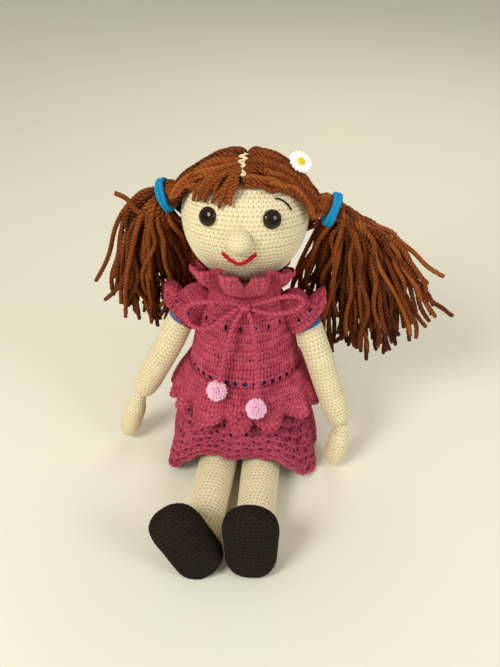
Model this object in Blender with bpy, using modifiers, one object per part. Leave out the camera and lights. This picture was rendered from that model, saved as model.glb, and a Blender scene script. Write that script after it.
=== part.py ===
"""A seated crocheted doll with yarn pigtails, a ruffled dress and a drawstring bow.

Lengths are in metres. The doll sits on the plane z = 0 with the middle of its seat at the origin
and faces -Y. Left and right are the doll's own, so its left side is at +X. Every stuffed piece is
a sphere whose rings are carried along a centre line, and every piece of hanging cloth is a grid
laid over a formula and thickened.
"""

import math

import bmesh
import bpy
import numpy as np
from mathutils import Matrix, Vector

COLLECTION = "crocheted_doll"
LEFT, RIGHT = 1, -1
SIDE_NAMES = {LEFT: "left", RIGHT: "right"}

# Clearances shared by all pieces
SEAM_GAP = 0.0003
DRESS_EASE = 0.0014
SEAT_CUT = 0.0005
CUT_OVERRUN = 0.002
ROUTE_DENSITY = 16

# Body: rows of height, width and depth, as shares of the sizes below
TORSO_HEIGHT = 0.164
TORSO_HALF_WIDTH = 0.042
TORSO_HALF_DEPTH = 0.036
TORSO_SHARES = (
    (-0.003, 0.00, 0.00),
    (-0.003, 0.66, 0.50),
    (0.035, 0.80, 0.60),
    (0.12, 0.88, 0.66),
    (0.24, 0.96, 0.86),
    (0.38, 1.00, 1.00),
    (0.54, 0.97, 0.97),
    (0.72, 0.83, 0.84),
    (0.87, 0.68, 0.70),
    (0.95, 0.52, 0.56),
    (1.012, 0.34, 0.38),
    (1.012, 0.00, 0.00),
)
TORSO_ROUTE = (
    Vector((0.0, 0.014, 0.0)),
    Vector((0.0, 0.011, TORSO_HEIGHT * 0.195)),
    Vector((0.0, 0.003, TORSO_HEIGHT * 0.390)),
    Vector((0.0, 0.004, TORSO_HEIGHT * 0.671)),
    Vector((0.0, 0.008, TORSO_HEIGHT)),
)
TORSO_SIDES = 24
TORSO_RINGS = 13
TORSO_LEVEL_COUNT = 83

# Neck: a gathered tube whose rounded top sits in the underside of the head
NECK_BALL_RADIUS = 0.012
NECK_SHAFT_RADIUS = 0.0105
NECK_RISE = 0.006
NECK_HEIGHT = TORSO_HEIGHT + NECK_RISE
NECK_FOOT_SHARE = 0.8
NECK_FOOT_ROUND = 0.0012
NECK_BALL_DEGREES = (-20.0, -6.25, 7.5, 21.25, 35.0, 48.75, 62.5, 76.25, 90.0)
NECK_SIDES = 14
NECK_RINGS = 8

# Head, leaning back a little: rows of height and radius, as shares
HEAD_RISE = 0.041
HEAD_CENTRE = Vector((0.0, 0.010, NECK_HEIGHT + HEAD_RISE))
HEAD_LEAN = math.radians(12)
HEAD_RADIUS = 0.045
HEAD_HALF_HEIGHT = 0.0435
HEAD_SHARES = (
    (-1.00, 0.00),
    (-0.97, 0.26),
    (-0.90, 0.45),
    (-0.77, 0.63),
    (-0.57, 0.80),
    (-0.32, 0.925),
    (-0.05, 0.99),
    (0.17, 1.00),
    (0.42, 0.94),
    (0.63, 0.80),
    (0.82, 0.58),
    (0.94, 0.34),
    (1.00, 0.00),
)
HEAD_SIDES = 24
HEAD_RINGS = 14
HEAD_TABLE_ROWS = 97

# Face
EYE_RADIUS = 0.006
EYE_DOME_HEIGHT = 0.0034
EYE_RIM_HEIGHT = 0.0008
EYE_POST_RADIUS = 0.0016
EYE_POST_LENGTH = 0.008
EYE_AZIMUTH = math.radians(28)
EYE_ELEVATION = math.radians(14.5)
EYE_SIDES = 14
EYE_ARC_DEGREES = (90, 72, 54, 36, 18, 0)
EYE_HOLE_SIDES = 10
NOSE_RADIUS = 0.0085
NOSE_HALF_HEIGHT = 0.0078
NOSE_ELEVATION = math.radians(-2)
NOSE_LIFT = 0.002
NOSE_SIDES = 14
NOSE_RINGS = 8
MOUTH_THREAD_RADIUS = 0.0014
MOUTH_HALF_SPREAD = math.radians(15)
MOUTH_END_ELEVATION = math.radians(-15)
MOUTH_DIP = math.radians(12)
MOUTH_POINTS = 11
BROW_THREAD_RADIUS = 0.0005
BROW_POINTS = 9
BROW_ROUTE_DEGREES = ((34.0, 30.0), (39.0, 29.0), (44.0, 25.5), (49.0, 18.5))

# Hair: yarn laid from the middle parting over the head and gathered at each tie
HAIR_THICKNESS = 0.0042
HAIR_RIDGE = 0.0007
HAIR_RIDGES = 5
HAIRLINE_FRONT = math.radians(38)
HAIRLINE_NAPE = math.radians(218)
PARTING_HALF_GAP = 0.0006
HAIR_ACROSS = 20
HAIR_ALONG = 6
HAIR_END_SHARE = 0.86
TIE_CENTRES = {
    LEFT: HEAD_CENTRE + Vector((0.0635, -0.0050, 0.0115)),
    RIGHT: HEAD_CENTRE + Vector((-0.0625, -0.0050, 0.0160)),
}
TIE_DROOP = math.radians(20)
TIE_BAND_RADIUS = 0.0024
TIE_GAP = 0.0011
GATHER_RADIUS = 0.0072
GATHER_BASE_RADIUS = 0.0105
GATHER_SHARES = ((0.0, 0.0), (0.0, 0.80), (0.10, 1.0), (0.25, 0.94), (0.50, 0.76), (0.80, 0.69))
GATHER_SIDES = 16
GATHER_RINGS = 10
PIGTAIL_ROOT_RADIUS = 0.0052
PIGTAIL_ROOT_DEGREES = (0, 26, 52, 78, 104)
TIE_SIDES = 20
TIE_BAND_SIDES = 6

PARTING_STITCH_HALF_WIDTH = 0.0026
PARTING_STITCH_THICKNESS = 0.0012
PARTING_STITCH_FRONT = math.radians(41)
PARTING_STITCH_BACK = math.radians(86)
PARTING_STITCH_ROWS = 10

FRINGE_THICKNESS = 0.0024
FRINGE_DROP = math.radians(9.5)
FRINGE_REACH_SHARE = 0.52
FRINGE_TIPS = 5
FRINGE_CLEARANCE = math.radians(1.2)
FRINGE_NOTCH_SHARE = 0.55
FRINGE_START_SHARE = 0.12
FRINGE_SPAN_SHARE = 0.80
FRINGE_ALONG = 20
FRINGE_ROWS = 2

# Pigtails: centre lines on from the tie, with rows of length, width and depth shares
PIGTAIL_OFFSETS = {
    LEFT: (
        Vector((0.010, 0.001, -0.0045)),
        Vector((0.026, 0.005, -0.0215)),
        Vector((0.041, 0.010, -0.054)),
        Vector((0.050, 0.014, -0.093)),
        Vector((0.053, 0.016, -0.131)),
    ),
    RIGHT: (
        Vector((-0.009, 0.001, -0.005)),
        Vector((-0.020, 0.005, -0.024)),
        Vector((-0.031, 0.010, -0.060)),
        Vector((-0.036, 0.012, -0.096)),
        Vector((-0.037, 0.012, -0.124)),
    ),
}
PIGTAIL_HALF_WIDTHS = {LEFT: 0.033, RIGHT: 0.023}
PIGTAIL_HALF_DEPTH = 0.017
PIGTAIL_SHARES = (
    (0.115, 0.34, 0.50),
    (0.24, 0.46, 0.66),
    (0.42, 0.72, 0.88),
    (0.62, 0.92, 1.00),
    (0.80, 1.00, 0.96),
    (0.93, 0.92, 0.80),
    (0.985, 0.66, 0.56),
    (1.0, 0.0, 0.0),
)
PIGTAIL_FLUTES = 6
PIGTAIL_FLUTE_SHARE = 0.055
PIGTAIL_TILT = 0.4
PIGTAIL_SIDES = 24
PIGTAIL_RINGS = 13

# Daisy sewn to the hair above the left tie
DAISY_RADIUS = 0.0085
DAISY_PETALS = 16
DAISY_PETAL_INNER_SHARE = 0.78
DAISY_PETAL_ROUNDNESS = 0.7
DAISY_PETAL_POINTS = 4
DAISY_THICKNESS = 0.0012
DAISY_CENTRE_RADIUS = 0.0026
DAISY_CENTRE_HEIGHT = 0.0018
DAISY_CENTRE_SIDES = 12
DAISY_ARC_DEGREES = (90, 60, 30, 0)
DAISY_CENTRE = HEAD_CENTRE + Vector((0.0341, -0.0055, 0.0412))
DAISY_FACING = Vector((0.42, -0.52, 0.74))

# Arms: the shoulder ball, the centre line on from it, and rows of length and radius shares
SHOULDER_DROP = 0.021
SHOULDER_HEIGHT = TORSO_HEIGHT - SHOULDER_DROP
SHOULDER_RADIUS = 0.0095
SHOULDER_DEPTH = 0.004
SHOULDER_SINK = 0.0007
ARM_RADIUS = 0.0108
ARM_SHARES = (
    (0.0, 0.0),
    (0.012, 0.42),
    (0.045, 0.74),
    (0.10, 0.885),
    (0.25, 0.98),
    (0.50, 1.00),
    (0.75, 0.98),
    (0.90, 0.92),
    (0.97, 0.76),
    (1.00, 0.56),
    (1.00, 0.0),
)
ARM_BENDS = {
    LEFT: (
        Vector((0.0475, 0.000, SHOULDER_HEIGHT - 0.014)),
        Vector((0.0545, -0.006, SHOULDER_HEIGHT - 0.029)),
    ),
    RIGHT: (
        Vector((-0.0485, 0.000, SHOULDER_HEIGHT - 0.015)),
        Vector((-0.0590, -0.004, SHOULDER_HEIGHT - 0.037)),
    ),
}
WRISTS = {LEFT: Vector((0.0815, -0.020, 0.040)), RIGHT: Vector((-0.0880, -0.008, 0.049))}
HAND_TIPS = {LEFT: Vector((0.0765, -0.025, 0.0015)), RIGHT: Vector((-0.1035, -0.010, 0.0045))}
WRIST_BALL_RADIUS = 0.0052
HAND_HALF_WIDTH = 0.0100
HAND_HALF_DEPTH = 0.0088
HAND_SHARES = (
    (0.0, 0.0, 0.0),
    (0.03, 0.35, 0.40),
    (0.12, 0.53, 0.60),
    (0.20, 0.62, 0.68),
    (0.34, 0.90, 0.92),
    (0.56, 1.00, 1.00),
    (0.78, 0.94, 0.94),
    (0.92, 0.66, 0.68),
    (1.0, 0.0, 0.0),
)
LIMB_SIDES = 14
ARM_RINGS = 13
HAND_RINGS = 10

# Legs and shoes
LEG_RADIUS = 0.0150
LEG_SPREAD = 0.0175
HIP_GAP = 0.0014
HIP_STEPS = 8
LEG_SHARES = (
    (0.0, 0.0),
    (0.012, 0.42),
    (0.05, 0.76),
    (0.12, 0.965),
    (0.30, 1.00),
    (0.60, 0.97),
    (0.82, 0.91),
    (0.94, 0.86),
    (0.985, 0.66),
    (1.0, 0.0),
)
ANKLES = {LEFT: Vector((0.0170, -0.1295, 0.0150)), RIGHT: Vector((-0.0215, -0.1330, 0.0150))}
LEG_RINGS = 12
SHOE_LENGTH = 0.0595
SHOE_HALF_WIDTH = 0.0200
SHOE_HALF_DEPTH = 0.0145
SHOE_SOLE_OFFSET = 0.0170
SHOE_LEAN = {LEFT: math.radians(6), RIGHT: math.radians(13)}
SHOE_TURN = {LEFT: math.radians(-1), RIGHT: math.radians(-36)}
SHOE_SHARES = (
    (0.0, 0.0, 0.0),
    (0.012, 0.40, 0.52),
    (0.06, 0.70, 0.88),
    (0.17, 0.90, 1.08),
    (0.34, 0.95, 1.10),
    (0.52, 0.98, 0.96),
    (0.72, 1.00, 0.88),
    (0.88, 0.86, 0.74),
    (0.965, 0.56, 0.48),
    (1.0, 0.0, 0.0),
)
SHOE_SIDES = 20
SHOE_RINGS = 14
SHOE_FLATTEN_SHARE = 0.62

# Dress: the bodice follows the body, the peplum and the skirt hang from its waist
CLOTH_THICKNESS = 0.0022
WAIST_SHARE = 0.5
WAIST_HEIGHT = TORSO_HEIGHT * WAIST_SHARE
NECKLINE_DROP = 0.0085
NECKLINE_HEIGHT = TORSO_HEIGHT - NECKLINE_DROP
ARMHOLE_DROP = 0.030
ARMHOLE_POWER = 6
BODICE_AROUND = 30
BODICE_ALONG = 5
PEPLUM_RISE = 0.0080
PEPLUM_TOP = WAIST_HEIGHT + PEPLUM_RISE
PEPLUM_HEM_SIDE = 0.0560
PEPLUM_HEM_FRONT = 0.0640
PEPLUM_HALF_WIDTH = 0.0560
PEPLUM_HALF_DEPTH = 0.0570
PEPLUM_CENTRE = 0.002
PEPLUM_DROP_POWER = 1.3
PEPLUM_FOLDS = 9
PEPLUM_FOLD_DEPTH = 0.0042
PEPLUM_FOLD_HEIGHT = 0.0030
PEPLUM_AROUND = 54
PEPLUM_ALONG = 4
SKIRT_HALF_WIDTH = 0.0590
SKIRT_HALF_DEPTH = 0.0565
SKIRT_CENTRE = 0.002
SKIRT_FLARE_POWER = 1.4
SKIRT_FOLDS = 12
SKIRT_FOLD_DEPTH = 0.0020
SKIRT_FRONT_HEM = 0.0340
SKIRT_HEM_WAVE = 0.0022
SKIRT_RISE_INNER = math.radians(31)
SKIRT_RISE_OUTER = math.radians(47)
SKIRT_CORNER_SHARE = 0.62
SKIRT_CORNER_TURN = math.radians(50)
SKIRT_CORNER_SPREAD = math.radians(20)
SKIRT_AROUND = 56
SKIRT_ALONG = 4
COLLAR_HALF_WIDTH = 0.0380
COLLAR_HALF_DEPTH = 0.0360
COLLAR_GAP = 0.0015
COLLAR_BASE_HEIGHT = NECKLINE_HEIGHT + COLLAR_GAP
COLLAR_RIM_RISE = 0.0085
COLLAR_FOLDS = 10
COLLAR_FOLD_HEIGHT = 0.0030
COLLAR_FRONT_GAP = math.radians(7)
COLLAR_AROUND = 50
COLLAR_ALONG = 2
SLEEVE_LENGTH = 0.0220
SLEEVE_TOP = math.radians(52)
SLEEVE_FLARE = 0.0050
SLEEVE_HALF_SPREAD = math.radians(122)
SLEEVE_FOLDS = 5
SLEEVE_FOLD_DEPTH = 0.0015
SLEEVE_AROUND = 20
SLEEVE_ALONG = 4

# Drawstring: a ring round the neckline, a knot, two bow loops and two hanging ends
CORD_RADIUS = 0.0015
CORD_DROP = 0.0055
CORD_HEIGHT = NECKLINE_HEIGHT - CORD_DROP
CORD_SIDE_RISE = 0.0045
CORD_RING_POINTS = 24
KNOT_HALF_WIDTH = 0.0050
KNOT_HALF_HEIGHT = 0.0040
KNOT_HALF_DEPTH = 0.0032
KNOT_SIDES = 12
KNOT_RINGS = 8
BOW_OFFSETS = {
    LEFT: (
        Vector((0.0024, -0.0262, 0.0036)),
        Vector((0.0110, -0.0300, 0.0090)),
        Vector((0.0240, -0.0350, 0.0175)),
        Vector((0.0345, -0.0340, 0.0180)),
        Vector((0.0390, -0.0325, 0.0130)),
        Vector((0.0350, -0.0330, 0.0070)),
        Vector((0.0240, -0.0330, 0.0025)),
        Vector((0.0120, -0.0300, 0.0000)),
        Vector((0.0024, -0.0262, 0.0000)),
    ),
    RIGHT: (
        Vector((-0.0074, -0.0262, 0.0036)),
        Vector((-0.0170, -0.0305, 0.0080)),
        Vector((-0.0280, -0.0350, 0.0110)),
        Vector((-0.0380, -0.0345, 0.0060)),
        Vector((-0.0415, -0.0325, -0.0020)),
        Vector((-0.0370, -0.0325, -0.0080)),
        Vector((-0.0280, -0.0335, -0.0085)),
        Vector((-0.0180, -0.0310, -0.0035)),
        Vector((-0.0074, -0.0262, 0.0000)),
    ),
}
CORD_END_OFFSETS = {
    LEFT: (
        Vector((-0.0004, -0.0262, -0.0021)),
        Vector((0.0040, -0.0300, -0.0100)),
        Vector((0.0075, -0.0345, -0.0230)),
        Vector((0.0100, -0.0385, -0.0380)),
        Vector((0.0120, -0.0440, -0.0500)),
        Vector((0.0135, -0.0500, -0.0565)),
    ),
    RIGHT: (
        Vector((-0.0046, -0.0262, -0.0021)),
        Vector((-0.0080, -0.0300, -0.0100)),
        Vector((-0.0108, -0.0345, -0.0230)),
        Vector((-0.0134, -0.0385, -0.0370)),
        Vector((-0.0152, -0.0425, -0.0490)),
    ),
}
POMPOM_RADIUS = 0.0078
POMPOM_SIDES = 12
POMPOM_RINGS = 8
BOW_POINTS = 20
CORD_END_POINTS = 13

# Colours as seen, in sRGB
CREAM = "e9d9a8"
CHESTNUT = "7a4018"
ROSE = "b9485f"
PINK = "f2a4c6"
SKY = "1590c8"
NAVY = "2b5c9c"
RED = "c01222"
SHOE_BROWN = "2b2018"
EYE_BROWN = "140d0a"
WHITE = "f3f2ea"
YELLOW = "e8d428"


def clear_scene():
    """Remove every object of the scene."""
    for item in list(bpy.data.objects):
        bpy.data.objects.remove(item, do_unlink=True)


def collection(name):
    """The named collection, made under the scene when it is missing."""
    found = bpy.data.collections.get(name)
    if found is None:
        found = bpy.data.collections.new(name)
        bpy.context.scene.collection.children.link(found)
    return found


def linear(channel):
    """One sRGB channel from 0 to 1 as a linear value."""
    return channel / 12.92 if channel <= 0.04045 else ((channel + 0.055) / 1.055) ** 2.4


def material(name, colour, roughness=0.9):
    """A Principled material of this sRGB colour."""
    made = bpy.data.materials.get(name) or bpy.data.materials.new(name)
    made.use_nodes = True
    shader = made.node_tree.nodes["Principled BSDF"]
    rgb = [linear(int(colour[i : i + 2], 16) / 255) for i in (0, 2, 4)]
    shader.inputs["Base Color"].default_value = (*rgb, 1.0)
    shader.inputs["Roughness"].default_value = roughness
    shader.inputs["Metallic"].default_value = 0.0
    return made


def pivot(name, location, parent=None, rotation=None):
    """An empty at a joint, with its rotation, under an optional parent empty."""
    empty = bpy.data.objects.new(name, None)
    empty.empty_display_size = SHOULDER_RADIUS
    collection(COLLECTION).objects.link(empty)
    world = Matrix.Translation(location)
    if rotation is not None:
        world = world @ rotation
    if parent is not None:
        empty.parent = parent
        world = parent.matrix_world.inverted() @ world
    empty.matrix_basis = world
    bpy.context.view_layer.update()
    return empty


def finish(name, mesh, finish_material, carrier=None, local=False):
    """Turn a bmesh into a smooth object, hung on the empty that carries it.

    The mesh is in world coordinates, or in the carrier's own frame when local is set.
    """
    mesh.normal_update()
    bmesh.ops.recalc_face_normals(mesh, faces=mesh.faces)
    data = bpy.data.meshes.new(name)
    mesh.to_mesh(data)
    mesh.free()
    data.shade_smooth()
    data.materials.append(finish_material)
    made = bpy.data.objects.new(name, data)
    collection(COLLECTION).objects.link(made)
    if carrier is not None:
        made.parent = carrier
        if not local:
            data.transform(carrier.matrix_world.inverted())
    return made


def as_tool(made):
    """Hide a helper and keep it with the cutters."""
    collection(COLLECTION).objects.unlink(made)
    collection("cutters").objects.link(made)
    made.hide_render = True
    made.display_type = "WIRE"
    return made


def combine(target, tool, operation):
    """Add an exact Boolean with the tool to the target."""
    modifier = target.modifiers.new(tool.name, "BOOLEAN")
    modifier.operation = operation
    modifier.solver = "EXACT"
    modifier.object = tool


def smooth_rows(rows, count):
    """Rows spaced evenly along a smooth curve through the given rows."""
    rows = np.array(rows, float)
    steps = np.linalg.norm(np.diff(rows, axis=0), axis=1)
    knots = np.concatenate(([0.0], np.cumsum(steps)))
    slopes = np.gradient(rows, knots, axis=0)
    places = np.linspace(0.0, knots[-1], count)
    spans = np.clip(np.searchsorted(knots, places, side="right") - 1, 0, len(rows) - 2)
    width = (knots[spans + 1] - knots[spans])[:, None]
    share = ((places - knots[spans])[:, None]) / width
    start, end = rows[spans], rows[spans + 1]
    leave, arrive = slopes[spans] * width, slopes[spans + 1] * width
    cubic, square = share**3, share**2
    return (
        (2 * cubic - 3 * square + 1) * start
        + (cubic - 2 * square + share) * leave
        + (3 * square - 2 * cubic) * end
        + (cubic - square) * arrive
    )


def length_of(route):
    """The length of a smooth curve through the route's points."""
    dense = smooth_rows(route, ROUTE_DENSITY * len(route))
    return float(np.linalg.norm(np.diff(dense, axis=0), axis=1).sum())


def along_route(route, distances):
    """(centre, direction) pairs at these distances along a smooth route, extended straight."""
    dense = smooth_rows(route, ROUTE_DENSITY * len(route))
    marks = np.concatenate(([0.0], np.cumsum(np.linalg.norm(np.diff(dense, axis=0), axis=1))))
    headings = np.gradient(dense, marks, axis=0)
    found = []
    for distance in distances:
        centre = Vector([float(np.interp(distance, marks, dense[:, k])) for k in range(3)])
        heading = Vector([float(np.interp(distance, marks, headings[:, k])) for k in range(3)])
        heading.normalize()
        beyond = distance - min(max(distance, 0.0), marks[-1])
        found.append((centre + heading * beyond, heading))
    return found


def sized_rows(shares, length, half_width, half_depth):
    """Share rows as lengths. A row of two shares is round."""
    return [(row[0] * length, row[1] * half_width, row[-1] * half_depth) for row in shares]


def stuffed_mesh(route, rows, across, sides, rings, flutes=0, flute_share=0.0, grow=0.0):
    """A sphere whose rings follow the route, with half width and half depth from the rows."""
    table = smooth_rows(rows, rings + 1)
    table[:, 1:] = np.maximum(table[:, 1:], 0.0)
    table[0, 1:] = table[-1, 1:] = 0.0
    frames = along_route(route, table[:, 0])
    mesh = bmesh.new()
    bmesh.ops.create_uvsphere(mesh, u_segments=sides, v_segments=rings, radius=1.0)
    for vertex in mesh.verts:
        height = min(max(vertex.co.z, -1.0), 1.0)
        ring = round(math.acos(height) / math.pi * rings)
        angle = math.atan2(vertex.co.y, vertex.co.x)
        centre, heading = frames[ring]
        wide = (across - heading * across.dot(heading)).normalized()
        deep = wide.cross(heading)
        swell = 1.0 + flute_share * math.cos(flutes * angle)
        reach = wide * math.cos(angle) * (table[ring, 1] * swell)
        vertex.co = centre + reach + deep * math.sin(angle) * (table[ring, 2] * swell)
    if grow:
        mesh.normal_update()
        for vertex, normal in [(v, v.normal.copy()) for v in mesh.verts]:
            vertex.co += normal * grow
    return mesh


def flatten(mesh, low=None, high=None):
    """Press the mesh flat against a level plane below or above it."""
    for vertex in mesh.verts:
        if low is not None:
            vertex.co.z = max(vertex.co.z, low)
        if high is not None:
            vertex.co.z = min(vertex.co.z, high)


def cloth(name, point_at, around, along, thickness, cloth_material, carrier=None, local=False):
    """A grid laid over point_at(u, v) for u and v from 0 to 1, thickened both ways."""
    mesh = bmesh.new()
    bmesh.ops.create_grid(mesh, x_segments=around, y_segments=along, size=1.0)
    for vertex in mesh.verts:
        vertex.co = point_at((vertex.co.x + 1.0) / 2, (vertex.co.y + 1.0) / 2)
    bmesh.ops.remove_doubles(mesh, verts=mesh.verts, dist=SEAM_GAP / 10)
    made = finish(name, mesh, cloth_material, carrier, local)
    thicken = made.modifiers.new("Thickness", "SOLIDIFY")
    thicken.thickness = thickness
    thicken.offset = 0.0
    return made


def cord(name, route, points, radius, cord_material, carrier=None, local=False, cyclic=False):
    """A round cord on a straight-segment spline through a smooth route."""
    data = bpy.data.curves.new(name, "CURVE")
    data.dimensions = "3D"
    data.bevel_depth = radius
    data.bevel_resolution = 2
    data.use_fill_caps = not cyclic
    places = smooth_rows(route, points)
    if not local and carrier is not None:
        inverse = carrier.matrix_world.inverted()
        places = [inverse @ Vector(place) for place in places]
    spline = data.splines.new("POLY")
    spline.points.add(len(places) - 1)
    spline.use_cyclic_u = cyclic
    for point, place in zip(spline.points, places):
        point.co = (*place, 1.0)
    data.materials.append(cord_material)
    made = bpy.data.objects.new(name, data)
    collection(COLLECTION).objects.link(made)
    made.parent = carrier
    return made


def turned(name, profile, steps, turned_material, carrier):
    """A profile of (radius, height) pairs, from the top down, turned about Z."""
    data = bpy.data.meshes.new(name)
    corners = [(radius, 0.0, height) for radius, height in profile]
    data.from_pydata(corners, [(i, i + 1) for i in range(len(corners) - 1)], [])
    data.materials.append(turned_material)
    made = bpy.data.objects.new(name, data)
    collection(COLLECTION).objects.link(made)
    made.parent = carrier
    screw = made.modifiers.new("Turn", "SCREW")
    screw.steps = steps
    screw.render_steps = steps
    screw.use_merge_vertices = True
    screw.merge_threshold = SEAM_GAP / 30
    screw.use_smooth_shade = True
    return made


TORSO_ROWS = sized_rows(TORSO_SHARES, TORSO_HEIGHT, TORSO_HALF_WIDTH, TORSO_HALF_DEPTH)


def torso_section(height):
    """(half width, half depth, centre y) of the body at this height."""
    rows = smooth_rows(TORSO_ROWS, TORSO_RINGS * 8)
    frames = along_route(TORSO_ROUTE, rows[:, 0])
    levels = [centre.z for centre, _ in frames]
    middles = [centre.y for centre, _ in frames]
    wide = float(np.interp(height, levels, rows[:, 1]))
    deep = float(np.interp(height, levels, rows[:, 2]))
    return wide, deep, float(np.interp(height, levels, middles))


TORSO_LEVELS = np.linspace(0.0, TORSO_HEIGHT, TORSO_LEVEL_COUNT)
TORSO_TABLE = np.array([torso_section(level) for level in TORSO_LEVELS])


def body_at(height):
    """(half width, half depth, centre y) of the body, read from a table made once."""
    return [float(np.interp(height, TORSO_LEVELS, TORSO_TABLE[:, k])) for k in range(3)]


def dress_point(angle, height, lift):
    """A point this far outside the body, at an angle from +X in the level plane."""
    wide, deep, middle = body_at(height)
    across = (wide + lift) * math.cos(angle)
    return Vector((across, middle + (deep + lift) * math.sin(angle), height))


HEAD_ROWS = smooth_rows(
    [(h * HEAD_HALF_HEIGHT, r * HEAD_RADIUS, r * HEAD_RADIUS) for h, r in HEAD_SHARES],
    HEAD_TABLE_ROWS,
)
HEAD_ANGLES = np.arctan2(HEAD_ROWS[:, 0], np.maximum(HEAD_ROWS[:, 1], 0.0))
HEAD_REACHES = np.hypot(HEAD_ROWS[:, 0], HEAD_ROWS[:, 1])


def head_point(direction, lift=0.0):
    """The point above the head's surface in this direction from its centre, in its own frame."""
    direction = direction.normalized()
    reach = float(np.interp(math.asin(direction.z), HEAD_ANGLES, HEAD_REACHES))
    return direction * (reach + lift)


def towards(azimuth, elevation):
    """A direction in the head's own frame. Azimuth 0 is the face, and left is positive."""
    level = math.cos(elevation)
    return Vector((level * math.sin(azimuth), -level * math.cos(azimuth), math.sin(elevation)))


def sit_on_head(mesh, gap=SEAM_GAP):
    """Press a mesh in the head's own frame outwards, clear of the head's surface."""
    for vertex in mesh.verts:
        reach = head_point(vertex.co, gap)
        if vertex.co.length < reach.length:
            vertex.co = reach


def facing(direction, location):
    """A placement with its Z axis along the direction."""
    return Matrix.Translation(location) @ direction.to_track_quat("Z", "Y").to_matrix().to_4x4()


def make_body(root):
    """The stuffed body, pressed flat under the seat and at the neck."""
    mesh = stuffed_mesh(TORSO_ROUTE, TORSO_ROWS, Vector((1, 0, 0)), TORSO_SIDES, TORSO_RINGS)
    flatten(mesh, 0.0, TORSO_HEIGHT)
    finish("torso", mesh, material("blue_yarn", NAVY), root)


def make_neck(turn):
    """The neck tube: a short shaft on the body with a ball that the head nods on."""
    foot = TORSO_HEIGHT + SEAM_GAP
    middle = body_at(TORSO_HEIGHT)[2]
    top = NECK_HEIGHT + NECK_BALL_RADIUS
    route = (
        Vector((0, middle, foot)),
        Vector((0, HEAD_CENTRE.y, NECK_HEIGHT)),
        Vector((0, HEAD_CENTRE.y, top)),
    )
    rows = [
        (0.0, 0.0),
        (0.0, NECK_SHAFT_RADIUS * NECK_FOOT_SHARE),
        (NECK_FOOT_ROUND, NECK_SHAFT_RADIUS),
    ]
    rise = top - foot
    for degrees in NECK_BALL_DEGREES:
        angle = math.radians(degrees)
        height = NECK_HEIGHT - foot + NECK_BALL_RADIUS * math.sin(angle)
        rows.append((min(height, rise), NECK_BALL_RADIUS * math.cos(angle)))
    table = [(row[0], row[1], row[1]) for row in rows]
    mesh = stuffed_mesh(route, table, Vector((1, 0, 0)), NECK_SIDES, NECK_RINGS)
    flatten(mesh, foot)
    finish("neck", mesh, material("cream_yarn", CREAM), turn)


def make_head(frame, nod):
    """The stuffed head with sockets for the neck ball and the two eye posts."""
    route = (Vector((0, 0, -HEAD_HALF_HEIGHT)), Vector((0, 0, 0)), Vector((0, 0, HEAD_HALF_HEIGHT)))
    rows = [(row[0] + HEAD_HALF_HEIGHT, row[1], row[2]) for row in HEAD_ROWS]
    mesh = stuffed_mesh(route, rows, Vector((1, 0, 0)), HEAD_SIDES, HEAD_RINGS)
    head = finish("head", mesh, material("cream_yarn", CREAM), frame, local=True)
    socket = bmesh.new()
    bmesh.ops.create_uvsphere(
        socket, u_segments=NECK_SIDES, v_segments=NECK_RINGS, radius=NECK_BALL_RADIUS + 2 * SEAM_GAP
    )
    cutter = as_tool(finish("neck_socket", socket, material("cream_yarn", CREAM), nod, local=True))
    combine(head, cutter, "DIFFERENCE")
    return head


def make_eyes(frame, head):
    """Two glossy domes, each on a post that goes into the head."""
    top = EYE_RIM_HEIGHT + EYE_DOME_HEIGHT
    profile = [(0.0, top)]
    for degrees in EYE_ARC_DEGREES[1:]:
        angle = math.radians(degrees)
        rise = EYE_DOME_HEIGHT * math.sin(angle)
        profile.append((EYE_RADIUS * math.cos(angle), EYE_RIM_HEIGHT + rise))
    profile += [
        (EYE_RADIUS, 0.0),
        (EYE_POST_RADIUS, 0.0),
        (EYE_POST_RADIUS, -EYE_POST_LENGTH),
        (0.0, -EYE_POST_LENGTH),
    ]
    for side, name in SIDE_NAMES.items():
        direction = towards(side * EYE_AZIMUTH, EYE_ELEVATION)
        place = facing(direction, head_point(direction, SEAM_GAP))
        gloss = material("eye_plastic", EYE_BROWN, 0.08)
        eye = turned(f"eye_{name}", profile, EYE_SIDES, gloss, frame)
        eye.matrix_basis = place
        drill = bmesh.new()
        depth = EYE_POST_LENGTH + SEAM_GAP + CUT_OVERRUN
        bmesh.ops.create_cone(
            drill, cap_ends=True, segments=EYE_HOLE_SIDES, radius1=EYE_POST_RADIUS + SEAM_GAP,
            radius2=EYE_POST_RADIUS + SEAM_GAP, depth=depth,
        )
        drill.transform(place @ Matrix.Translation((0, 0, CUT_OVERRUN - depth / 2)))
        cutter = finish(f"eye_hole_{name}", drill, material("cream_yarn", CREAM), frame, local=True)
        combine(head, as_tool(cutter), "DIFFERENCE")


def make_nose(frame):
    """A small crocheted ball sewn to the middle of the face."""
    direction = towards(0.0, NOSE_ELEVATION)
    mesh = bmesh.new()
    bmesh.ops.create_uvsphere(mesh, u_segments=NOSE_SIDES, v_segments=NOSE_RINGS, radius=1.0)
    mesh.transform(Matrix.Diagonal((NOSE_RADIUS, NOSE_RADIUS, NOSE_HALF_HEIGHT, 1.0)))
    mesh.transform(Matrix.Translation(head_point(direction, NOSE_LIFT)))
    sit_on_head(mesh)
    finish("nose", mesh, material("cream_yarn", CREAM), frame, local=True)


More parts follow.
